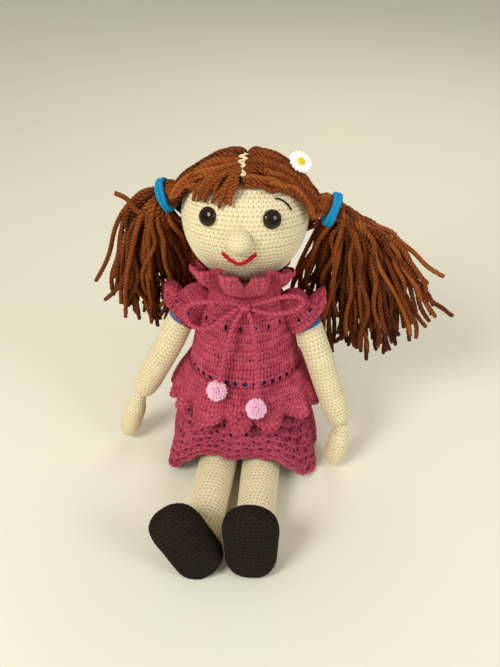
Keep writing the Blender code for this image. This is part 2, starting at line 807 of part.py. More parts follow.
def make_mouth_and_brow(frame):
    """The smile and the eyebrow, sewn lines that follow the face."""
    smile = []
    for step in range(MOUTH_POINTS):
        share = 2 * step / (MOUTH_POINTS - 1) - 1
        elevation = MOUTH_END_ELEVATION - MOUTH_DIP * (1 - share * share)
        direction = towards(share * MOUTH_HALF_SPREAD, elevation)
        smile.append(head_point(direction, MOUTH_THREAD_RADIUS + SEAM_GAP))
    cord("mouth", smile, MOUTH_POINTS, MOUTH_THREAD_RADIUS, material("red_yarn", RED), frame, True)
    brow = [
        head_point(towards(math.radians(a), math.radians(e)), BROW_THREAD_RADIUS + SEAM_GAP)
        for a, e in BROW_ROUTE_DEGREES
    ]
    thread = material("black_thread", EYE_BROWN)
    cord("eyebrow_left", brow, BROW_POINTS, BROW_THREAD_RADIUS, thread, frame, True)


def own_tie_direction(frame, side):
    """The direction of this side's tie from the middle of the head, in the head's own frame."""
    return (frame.matrix_world.inverted() @ TIE_CENTRES[side]).normalized()


def hair_lift(across_share):
    """How far the middle of the hair lies above the head, with its ridges of strands."""
    ridge = (1 + math.cos(2 * math.pi * HAIR_RIDGES * across_share)) / 2
    return SEAM_GAP * 2 + HAIR_THICKNESS / 2 + HAIR_RIDGE * ridge


def tie_axis(side):
    """The direction in which the gathered hair leaves the head through its tie."""
    return Vector((side * math.cos(TIE_DROOP), 0.0, -math.sin(TIE_DROOP)))


def make_hair_side(frame, side, name):
    """One half of the hair: a fan of strands from the parting, gathered into a neck at the tie."""
    tie = own_tie_direction(frame, side)
    parting_tilt = PARTING_HALF_GAP / HEAD_RADIUS

    def point_at(along, across):
        turn = HAIRLINE_FRONT + (HAIRLINE_NAPE - HAIRLINE_FRONT) * across
        start = Vector((side * parting_tilt, -math.cos(turn), math.sin(turn))).normalized()
        direction = start.slerp(tie, along * HAIR_END_SHARE)
        point = head_point(direction, hair_lift(across))
        if along == 0:
            point.x = side * PARTING_HALF_GAP * 2
        return point

    hair = cloth(f"hair_{name}", point_at, HAIR_ALONG, HAIR_ACROSS, HAIR_THICKNESS,
                 material("chestnut_yarn", CHESTNUT), frame, local=True)
    own = frame.matrix_world.inverted()
    axis = (own.to_3x3() @ tie_axis(side)).normalized()
    centre = own @ TIE_CENTRES[side]
    end = centre - axis * (PIGTAIL_ROOT_RADIUS + SEAM_GAP)
    base = head_point(tie, SEAM_GAP * 2)
    route = (base, end - axis * GATHER_RADIUS, end)
    length = length_of(route)
    rows = sized_rows(GATHER_SHARES, length, GATHER_BASE_RADIUS, GATHER_BASE_RADIUS)
    rows += [(length, GATHER_RADIUS, GATHER_RADIUS), (length, 0.0, 0.0)]
    mesh = stuffed_mesh(route, rows, Vector((0, 1, 0)), GATHER_SIDES, GATHER_RINGS)
    sit_on_head(mesh, SEAM_GAP * 2)
    gather = finish(f"gather_{name}", mesh, material("chestnut_yarn", CHESTNUT), frame, local=True)
    combine(hair, as_tool(gather), "UNION")


def make_fringe(frame):
    """The short strands that fall from the parting over the right side of the forehead."""
    tie = own_tie_direction(frame, RIGHT)

    def point_at(along, down):
        root = HAIRLINE_FRONT - FRINGE_CLEARANCE
        start = Vector((0.0, -math.cos(root), math.sin(root)))
        direction = start.slerp(tie, along * FRINGE_REACH_SHARE)
        wave = abs(math.sin(math.pi * FRINGE_TIPS * along))
        tips = FRINGE_NOTCH_SHARE + (1 - FRINGE_NOTCH_SHARE) * wave
        taper = math.sqrt(math.sin(math.pi * (FRINGE_START_SHARE + FRINGE_SPAN_SHARE * along)))
        drop = FRINGE_CLEARANCE * 2 + down * FRINGE_DROP * tips * taper
        azimuth = math.atan2(direction.x, -direction.y)
        lift = SEAM_GAP * 2 + FRINGE_THICKNESS / 2
        return head_point(towards(azimuth, math.asin(direction.z) - drop), lift)

    cloth("fringe", point_at, FRINGE_ALONG, FRINGE_ROWS, FRINGE_THICKNESS,
          material("chestnut_yarn", CHESTNUT), frame, local=True)


def make_parting_stitches(frame):
    """The strip of stitches that sews both halves of the hair down along the parting."""
    lift = SEAM_GAP * 3 + HAIR_THICKNESS + HAIR_RIDGE + PARTING_STITCH_THICKNESS / 2

    def point_at(across, along):
        turn = PARTING_STITCH_FRONT + (PARTING_STITCH_BACK - PARTING_STITCH_FRONT) * along
        middle = head_point(Vector((0.0, -math.cos(turn), math.sin(turn))), lift)
        return middle + Vector((PARTING_STITCH_HALF_WIDTH * (2 * across - 1), 0.0, 0.0))

    cloth("parting_stitches", point_at, 2, PARTING_STITCH_ROWS, PARTING_STITCH_THICKNESS,
          material("cream_yarn", CREAM), frame, local=True)


def make_tie(side, name, nod):
    """The band round the gathered hair."""
    axis = tie_axis(side)
    ring_radius = GATHER_RADIUS + TIE_GAP + TIE_BAND_RADIUS
    centre = TIE_CENTRES[side] - axis * (PIGTAIL_ROOT_RADIUS + SEAM_GAP - TIE_BAND_RADIUS)
    bpy.ops.mesh.primitive_torus_add(
        major_segments=TIE_SIDES, minor_segments=TIE_BAND_SIDES, major_radius=ring_radius,
        minor_radius=TIE_BAND_RADIUS,
    )
    ring = bpy.context.object
    ring.name = f"hair_tie_{name}"
    for holder in list(ring.users_collection):
        holder.objects.unlink(ring)
    collection(COLLECTION).objects.link(ring)
    ring.data.transform(nod.matrix_world.inverted() @ facing(axis, centre))
    ring.data.shade_smooth()
    ring.data.materials.append(material("sky_blue_band", SKY))
    ring.parent = nod


def make_pigtail(side, name, swing):
    """A bundle of yarn that hangs from its tie and widens to a cut end."""
    centre = TIE_CENTRES[side]
    axis = tie_axis(side)
    root = centre - axis * PIGTAIL_ROOT_RADIUS
    route = [root, centre] + [centre + offset for offset in PIGTAIL_OFFSETS[side]]
    length = length_of(route)
    half_width = PIGTAIL_HALF_WIDTHS[side]
    rows = []
    for degrees in PIGTAIL_ROOT_DEGREES:
        angle = math.radians(degrees)
        reach = PIGTAIL_ROOT_RADIUS * math.sin(angle)
        rows.append((PIGTAIL_ROOT_RADIUS * (1 - math.cos(angle)), reach, reach))
    rows += sized_rows(PIGTAIL_SHARES, length, half_width, PIGTAIL_HALF_DEPTH)
    mesh = stuffed_mesh(route, rows, Vector((side, 0, PIGTAIL_TILT)), PIGTAIL_SIDES, PIGTAIL_RINGS,
                        PIGTAIL_FLUTES, PIGTAIL_FLUTE_SHARE)
    finish(f"pigtail_{name}", mesh, material("chestnut_yarn", CHESTNUT), swing)


def make_daisy(nod):
    """A daisy with a ring of petals and a domed centre, sewn above the left tie."""
    place = nod.matrix_world.inverted() @ facing(DAISY_FACING.normalized(), DAISY_CENTRE)
    data = bpy.data.curves.new("daisy_petals", "CURVE")
    data.dimensions = "2D"
    data.fill_mode = "BOTH"
    data.extrude = DAISY_THICKNESS / 2
    spline = data.splines.new("POLY")
    steps = DAISY_PETALS * DAISY_PETAL_POINTS
    spline.points.add(steps - 1)
    spline.use_cyclic_u = True
    for step, point in enumerate(spline.points):
        angle = 2 * math.pi * step / steps
        wave = abs(math.sin(DAISY_PETALS * angle / 2)) ** DAISY_PETAL_ROUNDNESS
        radius = DAISY_RADIUS * (DAISY_PETAL_INNER_SHARE + (1 - DAISY_PETAL_INNER_SHARE) * wave)
        point.co = (radius * math.cos(angle), radius * math.sin(angle), 0.0, 1.0)
    data.materials.append(material("white_thread", WHITE))
    petals = bpy.data.objects.new("daisy_petals", data)
    collection(COLLECTION).objects.link(petals)
    petals.parent = nod
    petals.matrix_basis = place
    profile = [(0.0, DAISY_CENTRE_HEIGHT)]
    for degrees in DAISY_ARC_DEGREES[1:]:
        angle = math.radians(degrees)
        rise = DAISY_CENTRE_HEIGHT * math.sin(angle)
        profile.append((DAISY_CENTRE_RADIUS * math.cos(angle), rise))
    profile.append((0.0, 0.0))
    yellow = material("yellow_thread", YELLOW)
    centre = turned("daisy_centre", profile, DAISY_CENTRE_SIDES, yellow, nod)
    centre.matrix_basis = place @ Matrix.Translation((0, 0, DAISY_THICKNESS / 2 + SEAM_GAP))


def shoulder(side):
    """The middle of the shoulder ball, as near the body as the ball and the gap allow."""
    reach = SHOULDER_RADIUS - SHOULDER_SINK
    place = 0.0
    for level, (wide, _, _) in zip(TORSO_LEVELS, TORSO_TABLE):
        apart = abs(level - SHOULDER_HEIGHT)
        if apart < reach:
            place = max(place, wide + math.sqrt(reach * reach - apart * apart))
    return Vector((side * place, SHOULDER_DEPTH, SHOULDER_HEIGHT))


def arm_route(side):
    """The arm's centre line from the pole of the shoulder ball to the wrist."""
    ball = shoulder(side)
    bends = ARM_BENDS[side]
    heading = (bends[0] - ball).normalized()
    wrist = WRISTS[side]
    into = (wrist - bends[-1]).normalized()
    end = wrist - into * (WRIST_BALL_RADIUS + SEAM_GAP)
    return [ball - heading * SHOULDER_RADIUS, ball, *bends, bends[-1].lerp(end, 0.5), end]


def make_arm(side, name, swing):
    """A stuffed arm from its shoulder ball to the drawn-in wrist."""
    route = arm_route(side)
    length = length_of(route)
    rows = sized_rows(ARM_SHARES, length, ARM_RADIUS, ARM_RADIUS)
    mesh = stuffed_mesh(route, rows, Vector((0, 1, 0)), LIMB_SIDES, ARM_RINGS)
    finish(f"arm_{name}", mesh, material("cream_yarn", CREAM), swing)


def make_hand(side, name, flex):
    """A mitten hand that starts as a small ball in the drawn-in wrist."""
    wrist, tip = WRISTS[side], HAND_TIPS[side]
    heading = (tip - wrist).normalized()
    start = wrist - heading * WRIST_BALL_RADIUS
    route = (start, wrist, wrist.lerp(tip, 0.5), tip)
    rows = sized_rows(HAND_SHARES, length_of(route), HAND_HALF_WIDTH, HAND_HALF_DEPTH)
    mesh = stuffed_mesh(route, rows, Vector((0, 1, 0)), LIMB_SIDES, HAND_RINGS)
    flatten(mesh, 0.0)
    finish(f"hand_{name}", mesh, material("cream_yarn", CREAM), flex)


def hip(side):
    """The middle of the hip ball, in front of the lower body."""
    radius = LEG_RADIUS + HIP_GAP
    place = 0.0
    for level, (wide, deep, middle) in zip(TORSO_LEVELS, TORSO_TABLE):
        for step in range(-HIP_STEPS, HIP_STEPS + 1):
            aside = radius * step / HIP_STEPS
            chord = radius * radius - (level - LEG_RADIUS) ** 2 - aside * aside
            if chord > 0 and abs(LEG_SPREAD + aside) < wide:
                front = middle - deep * math.sqrt(1 - ((LEG_SPREAD + aside) / wide) ** 2)
                place = min(place, front - math.sqrt(chord))
    return Vector((side * LEG_SPREAD, place, LEG_RADIUS - SEAT_CUT))


def leg_route(side):
    """The leg's centre line from the back of the hip ball to the ankle."""
    ball = hip(side)
    ankle = ANKLES[side]
    return [ball + Vector((0, LEG_RADIUS, 0)), ball, ball.lerp(ankle, 0.5), ankle]


def leg_mesh(side, grow=0.0):
    """The leg's shape, grown by a gap where it cuts the shoe."""
    route = leg_route(side)
    length = length_of(route)
    rows = sized_rows(LEG_SHARES, length, LEG_RADIUS, LEG_RADIUS)
    return stuffed_mesh(route, rows, Vector((1, 0, 0)), LIMB_SIDES, LEG_RINGS, grow=grow)


def make_leg(side, name, swing):
    """A stuffed leg that lies on the table in front of the body."""
    mesh = leg_mesh(side)
    flatten(mesh, 0.0)
    finish(f"leg_{name}", mesh, material("cream_yarn", CREAM), swing)


def make_shoe(side, name, swing):
    """A shoe with its heel on the table and its toe up, cut out for the end of the leg."""
    ankle = ANKLES[side]
    lean, turn = SHOE_LEAN[side], SHOE_TURN[side]
    up = Vector((math.sin(turn) * math.cos(lean), math.sin(lean), math.cos(turn) * math.cos(lean)))
    sole = ankle.y - SHOE_SOLE_OFFSET
    heel = Vector((ankle.x - up.x * ankle.z, sole + SHOE_HALF_DEPTH, -SEAT_CUT))
    toe = heel + up * SHOE_LENGTH
    route = (heel, heel.lerp(toe, 0.5), toe)
    rows = sized_rows(SHOE_SHARES, SHOE_LENGTH, SHOE_HALF_WIDTH, SHOE_HALF_DEPTH)
    mesh = stuffed_mesh(route, rows, Vector((1, 0, 0)), SHOE_SIDES, SHOE_RINGS)
    sole_normal = Vector((0, -math.cos(lean), math.sin(lean)))
    for vertex in mesh.verts:
        out = (vertex.co - heel).dot(sole_normal)
        if out > SHOE_HALF_DEPTH * SHOE_FLATTEN_SHARE:
            extra = out - SHOE_HALF_DEPTH * SHOE_FLATTEN_SHARE
            vertex.co -= sole_normal * extra * SHOE_FLATTEN_SHARE
    flatten(mesh, 0.0)
    shoe = finish(f"shoe_{name}", mesh, material("dark_brown_yarn", SHOE_BROWN), swing)
    cutter = finish(f"ankle_{name}", leg_mesh(side, SEAM_GAP), material("cream_yarn", CREAM), swing)
    combine(shoe, as_tool(cutter), "DIFFERENCE")


def make_bodice(root):
    """The fitted top of the dress, cut lower under each arm."""
    lift = DRESS_EASE + CLOTH_THICKNESS / 2

    def point_at(around, up):
        angle = 2 * math.pi * around
        top = NECKLINE_HEIGHT - ARMHOLE_DROP * abs(math.cos(angle)) ** ARMHOLE_POWER
        return dress_point(angle, WAIST_HEIGHT + (top - WAIST_HEIGHT) * up, lift)

    cloth("dress_bodice", point_at, BODICE_AROUND, BODICE_ALONG, CLOTH_THICKNESS,
          material("rose_yarn", ROSE), root)


def flare(share):
    """How far cloth has swung out at this share of its drop."""
    return math.sin(share * math.pi / 2)


def make_peplum(root):
    """The ruffle round the hips, with its flounces."""
    lift = DRESS_EASE + CLOTH_THICKNESS * 1.5 + SEAM_GAP * 2

    def point_at(around, down):
        angle = 2 * math.pi * around
        wide, deep, middle = body_at(PEPLUM_TOP)
        out = flare(down)
        fold = math.cos(PEPLUM_FOLDS * (angle + math.pi / 2)) * down
        across = (wide + lift) * (1 - out) + PEPLUM_HALF_WIDTH * out + PEPLUM_FOLD_DEPTH * fold
        depth = (deep + lift) * (1 - out) + PEPLUM_HALF_DEPTH * out + PEPLUM_FOLD_DEPTH * fold
        centre = middle * (1 - down) + PEPLUM_CENTRE * down
        front = max(0.0, -math.sin(angle))
        hem = PEPLUM_HEM_SIDE + (PEPLUM_HEM_FRONT - PEPLUM_HEM_SIDE) * front
        height = PEPLUM_TOP + (hem - PEPLUM_TOP) * down**PEPLUM_DROP_POWER + PEPLUM_FOLD_HEIGHT * fold
        return Vector((across * math.cos(angle), centre + depth * math.sin(angle), height))

    cloth("peplum", point_at, PEPLUM_AROUND, PEPLUM_ALONG, CLOTH_THICKNESS,
          material("rose_yarn", ROSE), root)


def hem_height(angle):
    """The hem's height: on the table at the sides and back, raised over the legs in front."""
    from_front = abs(math.remainder(angle + math.pi / 2, 2 * math.pi))
    span = SKIRT_RISE_OUTER - SKIRT_RISE_INNER
    share = min(max((SKIRT_RISE_OUTER - from_front) / span, 0.0), 1.0)
    ease = share * share * (3 - 2 * share)
    rest = CLOTH_THICKNESS / 2
    wave = SKIRT_HEM_WAVE * math.cos(SKIRT_FOLDS * (angle + math.pi / 2)) * ease
    return rest + (SKIRT_FRONT_HEM - rest) * ease + wave


def make_skirt(root):
    """The skirt, draped over both legs, with a corner on the table at either side of them."""
    lift = DRESS_EASE + CLOTH_THICKNESS / 2
    top = WAIST_HEIGHT - CLOTH_THICKNESS / 2 - SEAM_GAP

    def point_at(around, down):
        angle = 2 * math.pi * around
        wide, deep, middle = body_at(WAIST_HEIGHT)
        out = flare(down) ** SKIRT_FLARE_POWER
        from_front = abs(math.remainder(angle + math.pi / 2, 2 * math.pi))
        corner = math.exp(-(((from_front - SKIRT_CORNER_TURN) / SKIRT_CORNER_SPREAD) ** 2))
        out *= 1 + SKIRT_CORNER_SHARE * corner * down
        fold = math.cos(SKIRT_FOLDS * (angle + math.pi / 2)) * down
        across = (wide + lift) * (1 - out) + SKIRT_HALF_WIDTH * out + SKIRT_FOLD_DEPTH * fold
        depth = (deep + lift) * (1 - out) + SKIRT_HALF_DEPTH * out + SKIRT_FOLD_DEPTH * fold
        centre = middle * (1 - down) + SKIRT_CENTRE * down
        height = top + (hem_height(angle) - top) * down
        return Vector((across * math.cos(angle), centre + depth * math.sin(angle), height))

    cloth("skirt", point_at, SKIRT_AROUND, SKIRT_ALONG, CLOTH_THICKNESS,
          material("rose_yarn", ROSE), root)


def make_collar(root):
    """The ruffle that stands round the neck, open in front."""
    wide, deep, middle = body_at(COLLAR_BASE_HEIGHT)
    lift = DRESS_EASE + CLOTH_THICKNESS / 2

    def point_at(around, out):
        spread = 2 * math.pi - 2 * COLLAR_FRONT_GAP
        angle = -math.pi / 2 + COLLAR_FRONT_GAP + spread * around
        fold = math.cos(COLLAR_FOLDS * angle) * out
        across = (wide + lift) * (1 - out) + COLLAR_HALF_WIDTH * out
        depth = (deep + lift) * (1 - out) + COLLAR_HALF_DEPTH * out
        rise = COLLAR_BASE_HEIGHT + COLLAR_RIM_RISE * out
        height = rise + COLLAR_FOLD_HEIGHT * fold
        return Vector((across * math.cos(angle), middle + depth * math.sin(angle), height))

    cloth("collar_ruffle", point_at, COLLAR_AROUND, COLLAR_ALONG, CLOTH_THICKNESS,
          material("rose_yarn", ROSE), root)


def make_sleeve(side, name, root):
    """A short ruffled sleeve, a flap that covers the outside of the shoulder."""
    ball = shoulder(side)
    axis = (ARM_BENDS[side][0] - ball).normalized()
    outward = Vector((side, 0, 0))
    wide = (outward - axis * outward.dot(axis)).normalized()
    deep = axis.cross(wide)
    inner = SHOULDER_RADIUS + SEAM_GAP * 2 + CLOTH_THICKNESS / 2

    def point_at(around, down):
        angle = SLEEVE_HALF_SPREAD * (2 * around - 1)
        dome = inner * SLEEVE_TOP
        path = down * (dome + SLEEVE_LENGTH)
        if path < dome:
            turn = SLEEVE_TOP * (1 - path / dome)
            distance, radius = -inner * math.sin(turn), inner * math.cos(turn)
        else:
            share = (path - dome) / SLEEVE_LENGTH
            distance = path - dome
            fold = math.cos(2 * math.pi * SLEEVE_FOLDS * around) * share
            radius = inner + SLEEVE_FLARE * share + SLEEVE_FOLD_DEPTH * fold
        rim = wide * math.cos(angle) + deep * math.sin(angle)
        return ball + axis * distance + rim * radius

    cloth(f"sleeve_{name}", point_at, SLEEVE_AROUND, SLEEVE_ALONG, CLOTH_THICKNESS,
          material("rose_yarn", ROSE), root)


def make_drawstring(root):
    """The cord through the neckline with its knot, bow loops, hanging ends and pom-poms."""
    rose = material("rose_yarn", ROSE)
    lift = DRESS_EASE + CLOTH_THICKNESS + SEAM_GAP * 2 + CORD_RADIUS
    ring = []
    for step in range(CORD_RING_POINTS):
        angle = 2 * math.pi * step / CORD_RING_POINTS
        height = CORD_HEIGHT + CORD_SIDE_RISE * math.cos(angle) ** 2
        ring.append(dress_point(angle, height, lift))
    cord("neck_drawstring", ring, CORD_RING_POINTS, CORD_RADIUS, rose, root, cyclic=True)
    knot = bmesh.new()
    bmesh.ops.create_uvsphere(knot, u_segments=KNOT_SIDES, v_segments=KNOT_RINGS, radius=1.0)
    knot.transform(Matrix.Diagonal((KNOT_HALF_WIDTH, KNOT_HALF_DEPTH, KNOT_HALF_HEIGHT, 1.0)))
    front = dress_point(-math.pi / 2, CORD_HEIGHT, lift)
    level = Vector((0, 0, CORD_HEIGHT))
    middle = (BOW_OFFSETS[LEFT][0].x + BOW_OFFSETS[RIGHT][0].x) / 2
    reach = CORD_RADIUS + SEAM_GAP + KNOT_HALF_DEPTH
    knot.transform(Matrix.Translation((middle, front.y - reach, CORD_HEIGHT + KNOT_HALF_HEIGHT / 2)))
    finish("bow_knot", knot, rose, root)
    for side, name in SIDE_NAMES.items():
        loop = [level + offset for offset in BOW_OFFSETS[side]]
        cord(f"bow_loop_{name}", loop, BOW_POINTS, CORD_RADIUS, rose, root)
        route = [level + offset for offset in CORD_END_OFFSETS[side]]
        cord(f"cord_end_{name}", route, CORD_END_POINTS, CORD_RADIUS, rose, root)
        heading = (route[-1] - route[-2]).normalized()
        pompom = bmesh.new()
        bmesh.ops.create_uvsphere(
            pompom, u_segments=POMPOM_SIDES, v_segments=POMPOM_RINGS, radius=POMPOM_RADIUS
        )
        centre = route[-1] + heading * (POMPOM_RADIUS + SEAM_GAP)
        pompom.transform(facing(heading, centre))
        finish(f"pompom_{name}", pompom, material("pink_fluff", PINK), root)


def main():
    clear_scene()
    root = pivot("seat", Vector((0, 0, 0)))
    turn = pivot("neck_turn", Vector((0, HEAD_CENTRE.y, TORSO_HEIGHT)), root)
    nod = pivot("head_nod", Vector((0, HEAD_CENTRE.y, NECK_HEIGHT)), turn)
    frame = pivot("head_frame", HEAD_CENTRE, nod, Matrix.Rotation(-HEAD_LEAN, 4, "X"))
    make_body(root)
    make_neck(turn)
    head = make_head(frame, nod)
    make_eyes(frame, head)
    make_nose(frame)
    make_mouth_and_brow(frame)
    make_fringe(frame)
    make_parting_stitches(frame)
    make_daisy(nod)
    for side, name in SIDE_NAMES.items():
        make_hair_side(frame, side, name)
        make_tie(side, name, nod)
        make_pigtail(side, name, pivot(f"tie_{name}", TIE_CENTRES[side], nod))
        swing = pivot(f"shoulder_{name}", shoulder(side), root)
        make_arm(side, name, swing)
        make_hand(side, name, pivot(f"wrist_{name}", WRISTS[side], swing))
        hinge = pivot(f"hip_{name}", hip(side), root)
        make_leg(side, name, hinge)
        make_shoe(side, name, hinge)
        make_sleeve(side, name, root)
    make_bodice(root)
    make_peplum(root)
    make_skirt(root)
    make_collar(root)
    make_drawstring(root)
    bpy.context.view_layer.update()


main()
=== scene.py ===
"""The looks of a seated crocheted doll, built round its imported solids.

Lengths are in metres. The doll faces -Y and its left side is at +X. Knitted and crocheted
surfaces are fine grids laid over a formula and raised stitch by stitch, and yarn is made of
twisted strands that follow a route.
"""

import logging
import math
from dataclasses import dataclass, field
from enum import Enum
from typing import Callable, Optional, Sequence

import bmesh
import bpy
import numpy as np
from mathutils import Matrix, Vector


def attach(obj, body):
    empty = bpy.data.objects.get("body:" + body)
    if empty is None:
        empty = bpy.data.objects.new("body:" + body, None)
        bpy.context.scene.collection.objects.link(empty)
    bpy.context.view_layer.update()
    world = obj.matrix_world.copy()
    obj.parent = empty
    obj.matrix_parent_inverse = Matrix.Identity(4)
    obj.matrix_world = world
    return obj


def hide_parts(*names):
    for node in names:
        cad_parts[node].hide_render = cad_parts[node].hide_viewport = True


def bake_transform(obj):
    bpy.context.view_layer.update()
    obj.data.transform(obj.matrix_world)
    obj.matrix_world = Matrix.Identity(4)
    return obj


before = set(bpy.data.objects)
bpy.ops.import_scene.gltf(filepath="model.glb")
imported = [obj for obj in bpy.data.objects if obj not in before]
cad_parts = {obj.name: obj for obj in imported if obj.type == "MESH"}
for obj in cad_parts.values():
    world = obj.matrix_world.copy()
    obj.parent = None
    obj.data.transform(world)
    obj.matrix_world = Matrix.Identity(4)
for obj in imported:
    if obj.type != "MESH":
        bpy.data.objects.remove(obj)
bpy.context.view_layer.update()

LOG = logging.getLogger("doll")
MM = 0.001
FULL_TURN = 2 * math.pi
LEFT, RIGHT = 1, -1
SIDE_NAMES = {LEFT: "left", RIGHT: "right"}
Grid = np.ndarray
Place = Callable[[Grid, Grid], Grid]
Piece = bpy.types.Object
Mesh = bpy.types.Mesh
Tree = bpy.types.NodeTree
Node = bpy.types.Node
Socket = bpy.types.NodeSocket


# Colour and material


def linear(colour: str) -> tuple[float, float, float, float]:
    """Turn six hex digits of an sRGB colour into linear red, green, blue and an alpha of 1."""
    channels = [int(colour[i : i + 2], 16) / 255 for i in (0, 2, 4)]
    flat = [c / 12.92 if c <= 0.04045 else ((c + 0.055) / 1.055) ** 2.4 for c in channels]
    return (flat[0], flat[1], flat[2], 1.0)


def feed(tree: Tree, node: Node, inputs: dict) -> None:
    """Give the sockets of a node their values and links.

    Args:
        tree: The node's tree.
        node: The node.
        inputs: Socket name or index, with a value or the socket that feeds it.
    """
    for key, value in inputs.items():
        if isinstance(value, Socket):
            tree.links.new(value, node.inputs[key])
        else:
            node.inputs[key].default_value = value


def add_node(tree: Tree, kind: str, inputs: Optional[dict] = None, **settings) -> Node:
    """Add a node with its settings, its values and its links.

    Args:
        tree: The node tree that gets the node.
        kind: Blender's name of the node.
        inputs: Socket name or index, with a value or the socket that feeds it.
        **settings: The node's own properties.

    Returns:
        The new node.
    """
    node = tree.nodes.new(kind)
    for key, value in settings.items():
        setattr(node, key, value)
    feed(tree, node, inputs or {})
    return node


def calculate(tree: Tree, operation: str, *values: Socket | float, clamp: bool = False) -> Socket:
    """The result of one step of arithmetic on sockets and numbers."""
    return add_node(tree, "ShaderNodeMath", dict(enumerate(values)), operation=operation,
                    use_clamp=clamp).outputs[0]


def attribute(tree: Tree, name: str) -> Socket:
    """A number that the mesh stores for each point."""
    return add_node(tree, "ShaderNodeAttribute", attribute_name=name).outputs["Fac"]


def cloud(tree: Tree, place: Socket, size_mm: float, detail: float, roughness: float = 0.5) -> Socket:
    """Soft noise.

    Args:
        tree: The node tree.
        place: The coordinates that it is read at.
        size_mm: Width of a patch.
        detail: How many finer layers it has.
        roughness: How strong they are.

    Returns:
        The noise's socket.
    """
    return add_node(tree, "ShaderNodeTexNoise", {
        "Vector": place, "Scale": 1 / (size_mm * MM), "Detail": detail, "Roughness": roughness,
    }).outputs["Fac"]


def colour_ramp(tree: Tree, share: Socket, stops: Sequence[tuple[float, str]]) -> Socket:
    """A colour that runs through stops, each a share and an sRGB hex colour.

    Args:
        tree: The node tree.
        share: The socket that says where between the stops.
        stops: At least two, from low to high.

    Returns:
        The colour's socket.
    """
    node = add_node(tree, "ShaderNodeValToRGB", {"Fac": share})
    marks = node.color_ramp.elements
    for position, _ in stops[1:-1]:
        marks.new(position)
    for mark, (position, colour) in zip(marks, stops):
        mark.position = position
        mark.color = linear(colour)
    return node.outputs["Color"]


def start_material(name: str) -> tuple[bpy.types.Material, Tree, Node, Socket]:
    """A new material, with its tree, its shader and its object coordinates."""
    made = bpy.data.materials.new(name)
    made.use_nodes = True
    tree = made.node_tree
    place = add_node(tree, "ShaderNodeTexCoord").outputs["Object"]
    return made, tree, tree.nodes["Principled BSDF"], place


@dataclass(frozen=True)
class Finish:
    """What pieces are made of: one material that they share."""

    name: str

    def build(self) -> bpy.types.Material:
        """Make the material."""
        return start_material(self.name)[0]

    def material(self) -> bpy.types.Material:
        """The material, which is made at its first use."""
        return bpy.data.materials.get(self.name) or self.build()


@dataclass(frozen=True)
class YarnFinish(Finish):
    """Spun yarn: matte fibres, with a painted highlight on the crown of each strand and painted shade
    between strands.

    Attributes:
        light: Colour where a strand is raised, a painted highlight.
        middle: Colour of its flank.
        shade: Colour in the gaps, a painted shade.
        fibre_mm: Width of a visible tuft of fibres.
        sheen: How strongly the loose fibres catch the light at the edges.
        wash_mm: Width of a lighter or darker patch of the dyed yarn.
        mottle: How uneven the yarn's colour is.
        band: Light, middle and shade of a band worked in a second yarn.
        band_rows: First and last row of that band.
    """

    light: str
    middle: str
    shade: str
    fibre_mm: float = 0.7
    sheen: float = 0.25
    wash_mm: float = 20.0
    mottle: float = 1.0
    band: Optional[tuple[str, str, str]] = None
    band_rows: tuple[float, float] = (0.0, 0.0)

    def height(self, tree: Tree, place: Socket) -> Socket:
        """How raised a spot looks, from 0 to 1: its strand's height with tufts, wash and tone, which sets
        the painted shade and highlight.
        """
        tufts = cloud(tree, place, self.fibre_mm, 3.0, 0.65)
        wash = cloud(tree, place, self.wash_mm, 2.0)
        tufted = calculate(tree, "MULTIPLY_ADD", tufts, 0.55 * self.mottle, -0.275 * self.mottle)
        washed = calculate(tree, "MULTIPLY_ADD", wash, 0.30 * self.mottle, tufted)
        toned = calculate(tree, "ADD", attribute(tree, "tone"), washed)
        lifted = calculate(tree, "ADD", attribute(tree, "rise"), toned)
        return calculate(tree, "SUBTRACT", lifted, 0.15 * self.mottle, clamp=True)

    def ramp(self, tree: Tree, height: Socket, colours: Sequence[str]) -> Socket:
        """A colour from shade through middle to light by the strand's height: painted shade where it is low,
        a painted highlight where it is high.
        """
        return colour_ramp(tree, height, list(zip((0.08, 0.48, 0.95), reversed(colours))))

    def build(self) -> bpy.types.Material:
        """Make the material."""
        made, tree, shader, place = start_material(self.name)
        height = self.height(tree, place)
        colour = self.ramp(tree, height, (self.light, self.middle, self.shade))
        if self.band is not None:
            stitches = add_node(tree, "ShaderNodeUVMap", uv_map="stitches").outputs["UV"]
            row = add_node(tree, "ShaderNodeSeparateXYZ", {0: stitches}).outputs["Y"]
            after = calculate(tree, "GREATER_THAN", row, self.band_rows[0])
            before = calculate(tree, "LESS_THAN", row, self.band_rows[1])
            inside = calculate(tree, "MULTIPLY", after, before)
            banded = self.ramp(tree, height, self.band)
            mix = add_node(tree, "ShaderNodeMix", {"Factor": inside, 6: colour, 7: banded},
                           data_type="RGBA")
            colour = mix.outputs[2]
        fuzz_mm = 0.35
        fuzz = cloud(tree, place, fuzz_mm, 2.0)
        bump = add_node(tree, "ShaderNodeBump", {"Height": fuzz, "Strength": 0.35, "Distance": fuzz_mm * MM})
        feed(tree, shader, {
            "Base Color": colour, "Normal": bump.outputs["Normal"], "Roughness": 0.92,
            "Specular IOR Level": 0.2, "Sheen Weight": self.sheen, "Sheen Roughness": 0.45,
            "Sheen Tint": linear(self.light),
        })
        return made


